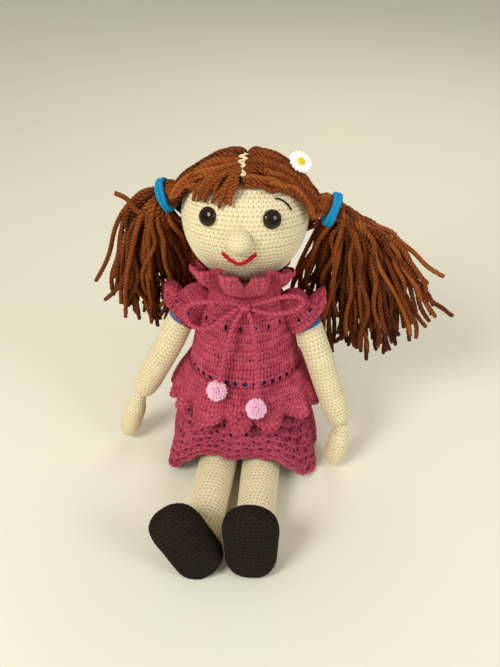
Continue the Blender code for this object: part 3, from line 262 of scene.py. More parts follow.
@dataclass(frozen=True)
class PlasticFinish(Finish):
    """Moulded acrylic plastic with a polished, lens-like face.

    Attributes:
        core: Colour seen straight through the dome.
        rim: Warmer colour towards the edge.
    """

    core: str
    rim: str

    def build(self) -> bpy.types.Material:
        """Make the material."""
        made, tree, shader, place = start_material(self.name)
        colour = colour_ramp(tree, attribute(tree, "rise"), ((0.25, self.rim), (0.6, self.core)))
        dust = cloud(tree, place, 2.0, 4.0)
        rough = add_node(tree, "ShaderNodeMapRange", {"Value": dust, 3: 0.05, 4: 0.13})
        feed(tree, shader, {
            "Base Color": colour, "Roughness": rough.outputs[0], "Specular IOR Level": 0.38, "IOR": 1.46,
        })
        return made


# Soft worsted acrylic, worked tight: pale crowns as a painted highlight, and painted shade in honey brown in
# the gaps between stitches
CREAM = ("f1ebd2", "eadfb8", "bda26a")
BLUE = ("4a86c4", "2c5f9f", "173052")
CREAM_YARN = YarnFinish("cream_worsted_crochet", *CREAM, mottle=0.35)
BODY_YARN = YarnFinish("cream_worsted_crochet_with_blue_body", *CREAM, mottle=0.35,
                       band=BLUE, band_rows=(0.0, 57.0))
ARM_YARN = YarnFinish("cream_worsted_crochet_with_blue_top", *CREAM, mottle=0.35,
                      band=BLUE, band_rows=(0.0, 11.0))
# Brushed cotton blend in rose, soft and furry, darker where the holes are, with painted shade in the gaps
# between stitches
ROSE_YARN = YarnFinish("rose_cotton_crochet", "cf5f75", "ab3c52", "5f182a", 0.7, 0.35, 6.0, 1.25)
# The same cotton twisted into a cord
CORD_YARN = YarnFinish("rose_cotton_twisted_cord", "cf6078", "ae3f56", "5c1628", 0.7, 0.35, 6.0, 0.8)
# The same cotton in deeper colours: painted shade for the shadow under the peplum and among the lace's
# shells
LACE_YARN_PAINTED_SHADE = YarnFinish("rose_cotton_lace_painted_shade", "bd4f67", "953349", "511424", 0.7, 0.3, 6.0, 1.25)
# Heather chestnut wool: loosely plied, furry, mottled from tobacco to dark brown along a strand
HAIR_YARN = YarnFinish("chestnut_wool_strands", "a55b24", "6c300d", "1f0b04", 0.9, 0.12, 6.0)
# The same wool in the shadow of the strands over it
HAIR_UNDER = YarnFinish("chestnut_wool_in_shadow", "4a2410", "351809", "1c0c05", 0.9, 0.1)
# Worsted acrylic in a brown that is nearly black
SHOE_YARN = YarnFinish("black_brown_worsted_crochet", "30241a", "1d150e", "090604")
# Stranded embroidery cotton and sewing thread
RED_YARN = YarnFinish("red_stranded_floss", "d81c2e", "bc1022", "7a0816", 0.4, 0.1)
BLACK_THREAD = YarnFinish("black_sewing_thread", "241e1a", "120d0b", "060404")
# Brushed acrylic, cut to short tufts
POMPOM_YARN = YarnFinish("pink_pompom_tufts", "ffd6ec", "ffcae5", "ffb8db", 0.8, 0.5)
# Covered rubber of a hair elastic
BAND_YARN = YarnFinish("sky_blue_hair_elastic", "2aa6dc", "0f88c0", "075680")
# Fine mercerised crochet cotton
WHITE_COTTON = YarnFinish("white_crochet_cotton", "ffffff", "f4f4f0", "c4c6be", 0.4)
YELLOW_COTTON = YarnFinish("yellow_crochet_cotton", "f7e84a", "ead72c", "b39a10", 0.4)
EYE_PLASTIC = PlasticFinish("moulded_acrylic_safety_eye", "070403", "2a1409")


# Curves, frames and grids


def smooth_rows(rows: Sequence, count: int) -> Grid:
    """Space rows evenly along a smooth curve through the given rows.

    Args:
        rows: The rows that the curve goes through.
        count: How many rows come back.

    Returns:
        The rows, one to a line.
    """
    rows = np.array(rows, float)
    steps = np.linalg.norm(np.diff(rows, axis=0), axis=1)
    knots = np.concatenate(([0.0], np.cumsum(steps)))
    slopes = np.gradient(rows, knots, axis=0)
    places = np.linspace(0.0, knots[-1], count)
    spans = np.clip(np.searchsorted(knots, places, side="right") - 1, 0, len(rows) - 2)
    width = (knots[spans + 1] - knots[spans])[:, None]
    share = ((places - knots[spans])[:, None]) / width
    start, end = rows[spans], rows[spans + 1]
    leave, arrive = slopes[spans] * width, slopes[spans + 1] * width
    cubic, square = share**3, share**2
    return (
        (2 * cubic - 3 * square + 1) * start
        + (cubic - 2 * square + share) * leave
        + (3 * square - 2 * cubic) * end
        + (cubic - square) * arrive
    )


def unit(vectors: Grid) -> Grid:
    """Vectors of length 1, and zero where there is no direction."""
    size = np.linalg.norm(vectors, axis=-1, keepdims=True)
    return np.where(size > 1e-12, vectors / np.maximum(size, 1e-12), 0.0)


def run_length(points: Grid) -> Grid:
    """Distance from the first point to each point along the points."""
    steps = np.linalg.norm(np.diff(points, axis=0), axis=-1)
    return np.concatenate(([0.0], np.cumsum(steps)))


def read_table(places: Grid, marks: Grid, values: Grid) -> Grid:
    """Columns of values read at any places, whatever the shape of places."""
    return np.stack([np.interp(places, marks, values[:, k]) for k in range(values.shape[1])], -1)


def transform(points: Grid, matrix: Matrix) -> Grid:
    """Points carried by a 4 by 4 matrix."""
    world = np.array(matrix, float)
    return points @ world[:3, :3].T + world[:3, 3]


def ease(share: Grid) -> Grid:
    """A share from 0 to 1 that starts and ends gently."""
    return share * share * (3 - 2 * share)


def bell(distance: Grid, width: float) -> Grid:
    """A bump of height 1 that fades out over this width."""
    return np.exp(-((distance / width) ** 2))


def bezier(share: Grid, start: Grid, leave: Grid, arrive: Grid, end: Grid) -> Grid:
    """Points along Bezier curves.

    Args:
        share: How far along each curve.
        start: Where the curves begin.
        leave: Where they head for as they leave.
        arrive: Where they come from as they arrive.
        end: Where they end.

    Returns:
        Curves by points by x, y and z.
    """
    left, t = 1 - share, share
    a, b, c, d = (p[:, None] for p in (start, leave, arrive, end))
    return left**3 * a + 3 * left**2 * t * b + 3 * left * t**2 * c + t**3 * d


def golden_turns(number: int) -> Grid:
    """Angles that spread any number of points evenly over a disc or a ball."""
    return np.arange(number) * math.pi * (3 - math.sqrt(5))


def noise(seed: int) -> np.random.Generator:
    """A seeded source of chance."""
    return np.random.default_rng(seed)


@dataclass
class Tube:
    """A stuffed tube round a route, with a half width and half depth along it.

    Attributes:
        route: Points of the centre line.
        rows: Distance, half width and half depth, smooth between rows.
        across: The direction of the width.
        low: A level that the tube rests on and doesn't pass.
    """

    route: Sequence
    rows: Sequence
    across: Sequence[float]
    low: Optional[float] = None

    def __post_init__(self) -> None:
        """Read the route and the rows into dense tables."""
        line = smooth_rows([list(p) for p in self.route], 200)
        self.marks = run_length(line)
        self.line = line
        self.headings = unit(np.gradient(line, self.marks, axis=0))
        table = smooth_rows(self.rows, 400)
        table[:, 1:] = np.maximum(table[:, 1:], 0.0)
        table[0, 1:] = table[-1, 1:] = 0.0
        self.table = table
        profile = np.stack([table[:, 0], (table[:, 1] + table[:, 2]) / 2], -1)
        self.walk = run_length(profile)

    @property
    def length(self) -> float:
        """Length of the surface from pole to pole."""
        return float(self.walk[-1])

    @property
    def girth(self) -> float:
        """Greatest distance round the tube."""
        return float(math.pi * (self.table[:, 1] + self.table[:, 2]).max())

    def girths(self, shares: Grid) -> Grid:
        """Distance round the tube at shares of its surface length."""
        at = read_table(shares * self.walk[-1], self.walk, self.table)
        return math.pi * (at[..., 1] + at[..., 2])

    def place(self, u: Grid, v: Grid) -> Grid:
        """Points at a share round the tube and a share along its surface.

        Args:
            u: Shares round the tube.
            v: Shares along its surface.

        Returns:
            The points.
        """
        at = read_table(v * self.walk[-1], self.walk, self.table)
        centre = read_table(at[..., 0], self.marks, self.line)
        heading = unit(read_table(at[..., 0], self.marks, self.headings))
        beyond = at[..., 0] - np.clip(at[..., 0], 0.0, self.marks[-1])
        centre = centre + heading * beyond[..., None]
        across = np.array(self.across, float)
        wide = unit(across - heading * (heading @ across)[..., None])
        deep = np.cross(wide, heading)
        angle = FULL_TURN * u
        points = centre + wide * (np.cos(angle) * at[..., 1])[..., None]
        points = points + deep * (np.sin(angle) * at[..., 2])[..., None]
        if self.low is not None:
            points[..., 2] = np.maximum(points[..., 2], self.low)
        return points


class Stitch(Enum):
    """How a surface is worked, each with its own relief."""

    SINGLE = "single crochet in rounds"
    DOUBLE = "double crochet in rows"
    SHELL = "shells with holes between them"


def single_relief(stitches: Grid, rows: Grid) -> Grid:
    """Height from 0 to 1 of single crochet: a V over each stitch, with a pit at its foot."""
    row, part = np.floor(rows), rows % 1.0
    off = (stitches + 0.20 * row) % 1.0 - 0.5
    legs = bell(np.abs(off) - 0.07 - 0.29 * part, 0.15)
    swell = np.sin(math.pi * part) ** 0.6
    pit = np.exp(-((off / 0.20) ** 2) - ((part / 0.26) ** 2)) + bell(np.abs(off) - 0.5, 0.12) * 0.4
    return np.clip((0.26 + 0.74 * legs) * (0.42 + 0.58 * swell) - 0.35 * pit, 0.0, 1.0)


def double_relief(stitches: Grid, rows: Grid) -> Grid:
    """Height from 0 to 1 of double crochet: tall leaning posts between braided row edges."""
    row, part = np.floor(rows), rows % 1.0
    way = np.where(row % 2 > 0.5, 1.0, -1.0)
    slant = way * (0.34 * part + 0.08 * np.sin(FULL_TURN * part))
    off = (stitches + slant + 0.37 * row) % 1.0 - 0.5
    legs = bell(np.abs(off) - 0.17, 0.13)
    gap = bell(np.abs(off) - 0.5, 0.16) * np.clip(np.sin(math.pi * part), 0, 1) ** 0.5
    braid = 0.5 + 0.5 * np.cos(2 * FULL_TURN * (stitches + 0.9 * part))
    edge = bell(part - 0.84, 0.12) * (0.55 + 0.45 * braid)
    foot = bell(np.minimum(part, 1 - part), 0.10) * (0.12 + 0.88 * np.sin(math.pi * stitches) ** 6)
    lean = 0.5 + 0.5 * np.cos(FULL_TURN * (2.0 * stitches + way * 1.3 * part))
    return np.clip(0.46 + 0.16 * legs + 0.16 * lean - 0.30 * gap + 0.20 * edge - 0.80 * foot, 0.0, 1.0)


def shell_relief(stitches: Grid, rows: Grid) -> Grid:
    """Height from 0 to 1 of shell lace: posts that fan out from the foot of each shell."""
    row, part = np.floor(rows), rows % 1.0
    off = (stitches + 0.5 * (row % 2)) % 1.0 - 0.5
    posts = 0.5 + 0.5 * np.cos(np.arctan2(off * 1.3, part + 0.22) * 14.0)
    edge = bell(part - 0.90 + 0.8 * off * off, 0.09)
    valley = np.clip(1.0 - (np.abs(off) / 0.5) ** 5, 0.1, 1.0)
    return np.clip(np.maximum((0.35 + 0.45 * posts) * valley, edge), 0.0, 1.0)


RELIEFS = {Stitch.SINGLE: single_relief, Stitch.DOUBLE: double_relief, Stitch.SHELL: shell_relief}


@dataclass(frozen=True)
class Eyelets:
    """Round holes in rows of their own spacing.

    Attributes:
        steps: Stitches between holes, for each row that has holes. Row -1 stands for every row.
        half_width: Half width of a hole, in stitches.
        half_height: Half height of a hole, in rows.
        level: Where in its row a hole lies.
        stagger: Shift of every other row, as a share of the step.
    """

    steps: dict[int, float]
    half_width: float
    half_height: float
    level: float = 0.45
    stagger: float = 0.0

    def open_up(self, across: Grid, along: Grid) -> tuple[Grid, Grid, Grid]:
        """Push points near a hole on to its rim.

        Args:
            across: Stitches along the row.
            along: Rows.

        Returns:
            The new stitches and rows, and True where a point lay inside a hole.
        """
        row = np.floor(along)
        step = np.full(across.shape, self.steps.get(-1, 0.0))
        for number, spacing in self.steps.items():
            if number >= 0:
                step = np.where(row == number, spacing, step)
        holed = step > 0
        step = np.where(holed, step, 1.0)
        shift = step * (0.5 + self.stagger * (row % 2))
        hole_across = np.round((across - shift) / step) * step + shift
        hole_along = row + self.level
        reach = np.hypot((across - hole_across) / self.half_width, (along - hole_along) / self.half_height)
        inside = (reach < 1.0) & holed
        grow = np.where(inside, 1.0 / np.maximum(reach, 1e-3), 1.0)
        return hole_across + (across - hole_across) * grow, hole_along + (along - hole_along) * grow, inside


def patchy(shape: tuple[int, int], cell: float, seed: int, closed: bool) -> Grid:
    """A field of smooth random patches, about 1 either way.

    Args:
        shape: Lines and columns.
        cell: Grid cells to a patch.
        seed: The random order.
        closed: True where the first and last columns meet.

    Returns:
        The field.
    """
    lines, columns = shape
    down, over = max(3, int(lines / cell)), max(3, int(columns / cell))
    coarse = noise(seed).normal(0, 1, (down + 1, over + 1))
    if closed:
        coarse[:, -1] = coarse[:, 0]
    y, x = np.linspace(0, down, lines), np.linspace(0, over, columns)
    j, i = np.minimum(y.astype(int), down - 1), np.minimum(x.astype(int), over - 1)
    ty, tx = (y - j)[:, None], (x - i)[None]
    ty, tx = ease(ty), ease(tx)
    top = coarse[j][:, i] * (1 - tx) + coarse[j][:, i + 1] * tx
    low = coarse[j + 1][:, i] * (1 - tx) + coarse[j + 1][:, i + 1] * tx
    return top * (1 - ty) + low * ty


@dataclass(frozen=True)
class Fabric:
    """A surface worked in one stitch, laid over a formula.

    Attributes:
        stitch: How it is worked.
        stitch_mm: Width of a stitch.
        row_mm: Height of a row.
        relief_mm: How far a strand stands over a gap.
        cell_mm: Spacing of the grid that carries the relief.
        eyelets: Holes, where it has them.
        thickness_mm: Thickness of the cloth, or 0 for the skin of a stuffed piece.
        loose: How uneven the stitches are.
    """

    stitch: Stitch = Stitch.SINGLE
    stitch_mm: float = 3.2
    row_mm: float = 3.2
    relief_mm: float = 0.75
    cell_mm: float = 0.8
    eyelets: Optional[Eyelets] = None
    thickness_mm: float = 0.0
    loose: float = 1.0

    def lay(self, name: str, place: Place, width: float, length: float, closed: bool = True,
            girths: Optional[Callable[[Grid], Grid]] = None, inside: Optional[Sequence] = None,
            fade: float = 0.0, sink: float = 0.35) -> tuple[Piece, float]:
        """Make the piece.

        Args:
            name: The piece's name.
            place: Points at shares round and along the surface.
            width: Distance round the surface, in metres.
            length: Distance along the surface, in metres.
            closed: True where the two side edges meet.
            girths: Distance round at shares along, where stitches are added and dropped.
            inside: A point on the inner side, or none for the middle of the piece.
            fade: Share of the length over which the relief fades in at both ends.
            sink: Share of the relief that lies under the formula's surface.

        Returns:
            The object and the area of its cloth.
        """
        columns = max(8, int(round(width / (self.cell_mm * MM))))
        lines = max(6, int(round(length / (self.cell_mm * MM))))
        mesh, column, line = flat_grid(name, columns, lines)
        u, v = np.meshgrid(np.linspace(0, 1, columns + 1), np.linspace(0, 1, lines + 1))
        rows = max(1, round(length / (self.row_mm * MM)))
        along = v * rows
        if girths is None:
            counts = np.full(rows + 1, max(2, round(width / (self.stitch_mm * MM))))
        else:
            centres = (np.arange(rows + 1) + 0.5) / rows
            counts = np.maximum(np.rint(girths(np.clip(centres, 0, 1)) / (self.stitch_mm * MM)), 5)
        count = counts[np.minimum(np.floor(along).astype(int), rows)]
        across = u * count
        base = place(u, v)
        holes = np.zeros(u.shape, bool)
        shaped = base
        if self.eyelets is not None:
            new_across, new_along, holes = self.eyelets.open_up(across, along)
            shaped = place(np.clip(new_across / count, 0, 1), np.clip(new_along / rows, 0, 1))
            across, along = np.where(holes, new_across, across), np.where(holes, new_along, along)
        seed = sum(map(ord, name))
        drift = patchy(u.shape, 2.2 * self.stitch_mm / self.cell_mm, seed, closed) * 0.10 * self.loose
        sway = patchy(u.shape, 2.6 * self.stitch_mm / self.cell_mm, seed + 1, closed) * 0.05 * self.loose
        fuzz = patchy(u.shape, 1.6, seed + 2, closed) * 0.09 * self.loose
        height = np.clip(RELIEFS[self.stitch](across + drift, along + sway) + fuzz, 0.0, 1.0)
        ends = np.clip(np.minimum(v, 1 - v) / fade, 0, 1) if fade else 1.0
        normal = grid_normals(base, closed)
        away = base - (base.mean(axis=(0, 1)) if inside is None else np.array(inside, float))
        if (normal * away).sum() < 0:
            normal = -normal
        puff = patchy(u.shape, 9.0 * self.stitch_mm / self.cell_mm, seed + 3, closed) * 0.15 * self.loose
        lift = (height - sink + puff) * self.relief_mm * MM * ends
        points = shaped + normal * lift[..., None]
        # The stitches' height goes in as rise, which the materials turn into painted shade between stitches
        # and a painted highlight on their crowns.
        fill_grid(mesh, column, line, points, height, drift * 0.5)
        scale_uv(mesh, float(counts.max()), float(rows))
        finish_mesh(mesh, holes[line, column])
        area = float(np.linalg.norm(np.cross(
            np.diff(base, axis=0)[:, :-1], np.diff(base, axis=1)[:-1]), axis=-1).sum())
        made = link(name, mesh)
        if self.thickness_mm:
            thicken = made.modifiers.new("Cloth", "SOLIDIFY")
            thicken.thickness = self.thickness_mm * MM
            thicken.offset = -1.0
        return made, area

    def lay_tube(self, name: str, tube: Tube, fade: float = 0.04, place: Optional[Place] = None) -> Piece:
        """Make a piece round a tube that is shut at both ends.

        Args:
            name: The piece's name.
            tube: The tube.
            fade: Share of the length over which the relief fades in at both ends.
            place: Another formula for the points, where the tube's own is changed.

        Returns:
            The object.
        """
        return self.lay(name, place or tube.place, tube.girth, tube.length,
                        girths=tube.girths, fade=fade)[0]


def read_points(mesh: Mesh) -> Grid:
    """The points of a mesh, one to a line."""
    flat = np.empty(len(mesh.vertices) * 3, np.float32)
    mesh.vertices.foreach_get("co", flat)
    return flat.reshape(-1, 3)


def write_points(mesh: Mesh, points: Grid) -> None:
    """Move the points of a mesh."""
    mesh.vertices.foreach_set("co", points.astype(np.float32).ravel())


def flat_grid(name: str, columns: int, lines: int) -> tuple[Mesh, Grid, Grid]:
    """A flat grid mesh with a UV map, and the column and line of each of its points.

    Args:
        name: The mesh's name.
        columns: Faces across.
        lines: Faces along.

    Returns:
        The mesh, and for each point its column and its line.
    """
    sheet = bmesh.new()
    sheet.loops.layers.uv.new("stitches")
    bmesh.ops.create_grid(sheet, x_segments=columns, y_segments=lines, size=1.0, calc_uvs=True)
    mesh = bpy.data.meshes.new(name)
    sheet.to_mesh(mesh)
    sheet.free()
    flat = read_points(mesh)
    column = np.rint((flat[:, 0] + 1) / 2 * columns).astype(int)
    line = np.rint((flat[:, 1] + 1) / 2 * lines).astype(int)
    return mesh, column, line


def grid_normals(points: Grid, closed: bool) -> Grid:
    """Unit normals of a grid of points."""
    along = np.gradient(points, axis=0)
    if closed:
        wrapped = np.concatenate([points[:, -2:-1], points, points[:, 1:2]], axis=1)
        around = wrapped[:, 2:] - wrapped[:, :-2]
    else:
        around = np.gradient(points, axis=1)
    return unit(np.cross(around, along))


def fill_grid(mesh: Mesh, column: Grid, line: Grid, points: Grid, rise: Grid, tone: Grid) -> None:
    """Give a grid mesh its points, and its rise and tone as attributes.

    Args:
        mesh: The mesh.
        column: The column of each of its points.
        line: The line of each of its points.
        points: Where they go, by line and column.
        rise: How raised the yarn is there.
        tone: How much lighter or darker it is there.
    """
    write_points(mesh, points[line, column])
    for name, values in (("rise", rise), ("tone", tone)):
        layer = mesh.attributes.new(name, "FLOAT", "POINT")
        layer.data.foreach_set("value", values[line, column].astype(np.float32).ravel())


def scale_uv(mesh: Mesh, across: float, along: float) -> None:
    """Stretch the UV map from shares to stitches and rows."""
    layer = mesh.uv_layers["stitches"]
    flat = np.empty(len(layer.data) * 2, np.float32)
    layer.data.foreach_get("uv", flat)
    flat = (flat.reshape(-1, 2) * np.array([across, along], np.float32)).ravel()
    layer.data.foreach_set("uv", flat)


def finish_mesh(mesh: Mesh, drop: Optional[Grid] = None, cut: Optional[Grid] = None) -> None:
    """Delete faces, weld the seams and turn the faces outwards.

    Args:
        mesh: The mesh.
        drop: True at points of holes: a face with all its points dropped goes.
        cut: A number for each point: a face whose points differ in it goes.
    """
    solid = bmesh.new()
    solid.from_mesh(mesh)
    solid.verts.ensure_lookup_table()
    solid.faces.ensure_lookup_table()
    corners = np.array([v for polygon in mesh.polygons for v in polygon.vertices]).reshape(-1, 4)
    gone = np.zeros(len(corners), bool)
    if drop is not None:
        gone |= drop[corners].all(axis=1)
    if cut is not None:
        gone |= np.ptp(cut[corners], axis=1) > 0
    if gone.any():
        faces = [solid.faces[i] for i in np.flatnonzero(gone)]
        bmesh.ops.delete(solid, geom=faces, context="FACES")
    bmesh.ops.remove_doubles(solid, verts=solid.verts, dist=0.002 * MM)
    bmesh.ops.dissolve_degenerate(solid, edges=solid.edges, dist=0.001 * MM)
    bmesh.ops.recalc_face_normals(solid, faces=solid.faces)
    solid.to_mesh(mesh)
    solid.free()
    mesh.shade_smooth()


def link(name: str, mesh: Mesh) -> Piece:
    """An object of the mesh in the scene."""
    made = bpy.data.objects.new(name, mesh)
    bpy.context.scene.collection.objects.link(made)
    return made


@dataclass(frozen=True)
class Yarn:
    """Twisted yarn or cord.

    Attributes:
        radius_mm: Half thickness.
        plies: Strands twisted together.
        pitch_mm: Length of one full turn of the twist.
        relief: How deep the grooves between plies are, as a share of the radius.
        sides: Faces round the yarn.
    """

    radius_mm: float = 1.4
    plies: int = 3
    pitch_mm: float = 9.0
    relief: float = 0.17
    sides: int = 9

    def spin(self, name: str, paths: Grid, taper: Optional[Grid] = None, tones: Optional[Grid] = None,
             across: Sequence[float] = (0.31, 0.87, 0.38), flat: float = 1.0,
             closed: bool = False) -> Piece:
        """Make strands along paths as one piece.

        Args:
            name: The piece's name.
            paths: Strands by points by x, y and z.
            taper: Thickness at each point as a share, one line for all or one for each strand.
            tones: How much lighter or darker each strand is.
            across: A direction that sets where the twist starts.
            flat: Depth as a share of width.
            closed: True where each path ends where it starts.

        Returns:
            The object.
        """
        strands, points, _ = paths.shape
        taper = np.ones((strands, points)) if taper is None else np.broadcast_to(taper, (strands, points))
        tones = np.zeros(strands) if tones is None else np.array(tones, float)
        heading = unit(np.gradient(paths, axis=1))
        if closed:
            seam = unit(paths[:, 1] - paths[:, -2])
            heading[:, 0] = heading[:, -1] = seam
        wide = np.empty_like(paths)
        start = np.broadcast_to(np.array(across, float), (strands, 3))
        for k in range(points):
            side = start if k == 0 else wide[:, k - 1]
            wide[:, k] = unit(side - heading[:, k] * (side * heading[:, k]).sum(-1, keepdims=True))
        deep = np.cross(heading, wide)
        gone = np.linalg.norm(np.diff(paths, axis=1), axis=-1)
        gone = np.concatenate([np.zeros((strands, 1)), np.cumsum(gone, axis=1)], axis=1)
        angle = np.linspace(0, FULL_TURN, self.sides + 1)
        turns = gone / (self.pitch_mm * MM)
        if closed:
            turns = gone / gone[:, -1:] * np.rint(turns[:, -1:])
        wave = np.cos(self.plies * (angle[None, None] - FULL_TURN * turns[..., None]))
        radius = self.radius_mm * MM * taper[..., None] * (1 + self.relief * wave)
        ring = paths[:, :, None] + wide[:, :, None] * (radius * np.cos(angle))[..., None]
        ring = ring + deep[:, :, None] * (radius * np.sin(angle) * flat)[..., None]
        # Painted shade in the grooves between plies and a painted highlight on each ply's crown.
        rise = 0.55 + 0.40 * wave * min(1.0, self.relief / 0.16)
        if not closed:
            def cap(k: int) -> Grid:
                """A ring shrunk to the point at one end."""
                return np.repeat(paths[:, k][:, None, None], self.sides + 1, axis=2)
            ring = np.concatenate([cap(0), ring, cap(-1)], axis=1)
            rise = np.concatenate([rise[:, :1], rise, rise[:, -1:]], axis=1)
        rows = ring.shape[1]
        mesh, column, line = flat_grid(name, self.sides, strands * rows - 1)
        tone = np.broadcast_to(tones[:, None, None], rise.shape)
        fill_grid(mesh, column, line, ring.reshape(-1, self.sides + 1, 3),
                  rise.reshape(-1, self.sides + 1), tone.reshape(-1, self.sides + 1))
        finish_mesh(mesh, cut=line // rows)
        return link(name, mesh)


def dress_up(piece: Piece, finish: Finish, body: str, slot: str, *nodes: str) -> Piece:
    """Give a piece its material and its body, and hide the solids it stands for.

    Args:
        piece: The piece.
        finish: What it is made of.
        body: The body that carries it, or nothing for a piece that is left without one.
        slot: Not used.
        *nodes: Solids that it replaces.

    Returns:
        The piece.
    """
    piece.data.materials.append(finish.material())
    if body:
        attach(piece, body)
    if nodes:
        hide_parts(*nodes)
    LOG.info("%s: %d faces on %s", piece.name, len(piece.data.polygons), body or "two bodies")
    return piece


def press_on_table(piece: Piece) -> None:
    """Lift every point of a piece that lies under the table on to it."""
    points = read_points(piece.data)
    points[:, 2] = np.maximum(points[:, 2], 0.0)
    write_points(piece.data, points)


def ball_rows(half_height: float, radius: float) -> list:
    """Rows of a tube that is a round or flattened ball."""
    angles = np.linspace(0, math.pi, 9)
    return [(half_height * (1 - math.cos(a)), radius * math.sin(a), radius * math.sin(a)) for a in angles]


def turned_to(facing: Sequence[float], spot: Sequence[float]) -> Matrix:
    """A matrix that carries a shape to a spot, with its top in the direction it faces."""
    return Matrix.Translation(Vector(spot)) @ Vector(facing).to_track_quat("Z", "Y").to_matrix().to_4x4()


def by_side(left: object, right: object) -> dict:
    """A field with one value for the doll's left and one for its right."""
    return field(default_factory=lambda: {LEFT: left, RIGHT: right})


# Shapes that several pieces share


@dataclass
class BodyShape:
    """The stuffed body that the dress lies on."""

    height: float = 0.164
    half_width: float = 0.042
    half_depth: float = 0.036
    shares: tuple = (
        (-0.003, 0.00, 0.00), (-0.003, 0.66, 0.50), (0.035, 0.80, 0.60), (0.12, 0.88, 0.66),
        (0.24, 0.96, 0.86), (0.38, 1.00, 1.00), (0.54, 0.97, 0.97), (0.72, 0.83, 0.84),
        (0.87, 0.68, 0.70), (0.95, 0.52, 0.56), (1.012, 0.34, 0.38), (1.012, 0.00, 0.00),
    )
    middles: tuple = ((0.0, 0.014), (0.195, 0.011), (0.390, 0.003), (0.671, 0.004), (1.0, 0.008))

    def __post_init__(self) -> None:
        """Read the body into a table of levels."""
        rows = smooth_rows(self.rows(), 104)
        line = smooth_rows(self.route(), 200)
        levels = np.interp(rows[:, 0], run_length(line), line[:, 2])
        centres = np.interp(rows[:, 0], run_length(line), line[:, 1])
        self.levels = np.linspace(0, self.height, 120)
        self.table = np.stack([
            np.interp(self.levels, levels, rows[:, 1]),
            np.interp(self.levels, levels, rows[:, 2]),
            np.interp(self.levels, levels, centres),
        ], -1)

    def rows(self) -> list:
        """Distance, half width and half depth up the body."""
        return [(a * self.height, b * self.half_width, c * self.half_depth) for a, b, c in self.shares]

    def route(self) -> list:
        """The centre line from the seat to the neck."""
        return [(0.0, y, share * self.height) for share, y in self.middles]

    def at(self, height: Grid) -> Grid:
        """Half width, half depth and centre at these heights."""
        return read_table(np.asarray(height, float), self.levels, self.table)

    def around(self, angle: Grid, height: Grid, lift: Grid) -> Grid:
        """Points this far outside the body.

        Args:
            angle: Angles round the body.
            height: Heights over the table.
            lift: Distance from its surface.

        Returns:
            The points.
        """
        size = self.at(height)
        x = (size[..., 0] + lift) * np.cos(angle)
        y = size[..., 2] + (size[..., 1] + lift) * np.sin(angle)
        return np.stack(np.broadcast_arrays(x, y, height), -1)


@dataclass
class HeadShape:
    """The stuffed head, leaning back a little, with directions on its face."""

    centre: tuple[float, float, float] = (0.0, 0.010, 0.211)
    lean: float = math.radians(12)
    radius: float = 0.045
    half_height: float = 0.0435
    shares: tuple = (
        (-1.00, 0.00), (-0.97, 0.26), (-0.90, 0.45), (-0.77, 0.63), (-0.57, 0.80), (-0.32, 0.925),
        (-0.05, 0.99), (0.17, 1.00), (0.42, 0.94), (0.63, 0.80), (0.82, 0.58), (0.94, 0.34),
        (1.00, 0.00),
    )

    def __post_init__(self) -> None:
        """Read the profile into tables."""
        self.rows = smooth_rows([(h * self.half_height, r * self.radius) for h, r in self.shares], 200)
        self.rows[:, 1] = np.maximum(self.rows[:, 1], 0.0)
        self.walk = run_length(self.rows)
        self.angles = np.arctan2(self.rows[:, 0], self.rows[:, 1])
        self.reaches = np.hypot(self.rows[:, 0], self.rows[:, 1])
        turned = Matrix.Rotation(-self.lean, 4, "X")
        self.matrix = Matrix.Translation(self.centre) @ turned

    def point(self, direction: Grid, lift: Grid = 0.0) -> Grid:
        """World points above the head's surface in directions of its own frame.

        Args:
            direction: Directions in the head's frame.
            lift: Height over the surface.

        Returns:
            The points.
        """
        direction = unit(np.asarray(direction, float))
        reach = np.interp(np.arcsin(np.clip(direction[..., 2], -1, 1)), self.angles, self.reaches)
        return transform(direction * (reach + lift)[..., None], self.matrix)

    @staticmethod
    def towards(azimuth: Grid, elevation: Grid) -> Grid:
        """Directions in the head's own frame, in degrees. 0 is the face and left is positive."""
        a, e = np.radians(azimuth), np.radians(elevation)
        return np.stack(np.broadcast_arrays(np.cos(e) * np.sin(a), -np.cos(e) * np.cos(a), np.sin(e)), -1)

    def own(self, point: Sequence[float]) -> Grid:
        """The direction of a world point in the head's own frame."""
        inverse = self.matrix.inverted()
        return unit(transform(np.array(point, float), inverse))

    def keep_out(self, points: Grid, gap: float) -> Grid:
        """Push points that are inside the head, or nearly, out through its surface.

        Args:
            points: World points.
            gap: The least height over the surface.

        Returns:
            The points, in the same form.
        """
        inverse = self.matrix.inverted()
        own = transform(points, inverse)
        size = np.linalg.norm(own, axis=-1)
        slope = np.arcsin(np.clip(own[..., 2] / size, -1, 1))
        least = np.interp(slope, self.angles, self.reaches) + gap
        grow = np.maximum(least / size, 1.0)
        return transform(own * grow[..., None], self.matrix)

    def place(self, u: Grid, v: Grid) -> Grid:
        """Points at a share round the head and a share up its surface."""
        row = read_table(v * self.walk[-1], self.walk, self.rows)
        angle = FULL_TURN * u + math.pi / 2
        flat = np.stack([row[..., 1] * np.cos(angle), row[..., 1] * np.sin(angle), row[..., 0]], -1)
        return transform(flat, self.matrix)


BODY = BodyShape()
HEAD = HeadShape()
TIE_CENTRES = {LEFT: (0.0635, 0.005, 0.2225), RIGHT: (-0.0585, 0.007, 0.2270)}
TIE_DROOP = math.radians(20)


def tie_axis(side: int) -> Grid:
    """The direction in which gathered hair leaves the head through its tie."""
    return np.array([side * math.cos(TIE_DROOP), 0.0, -math.sin(TIE_DROOP)])


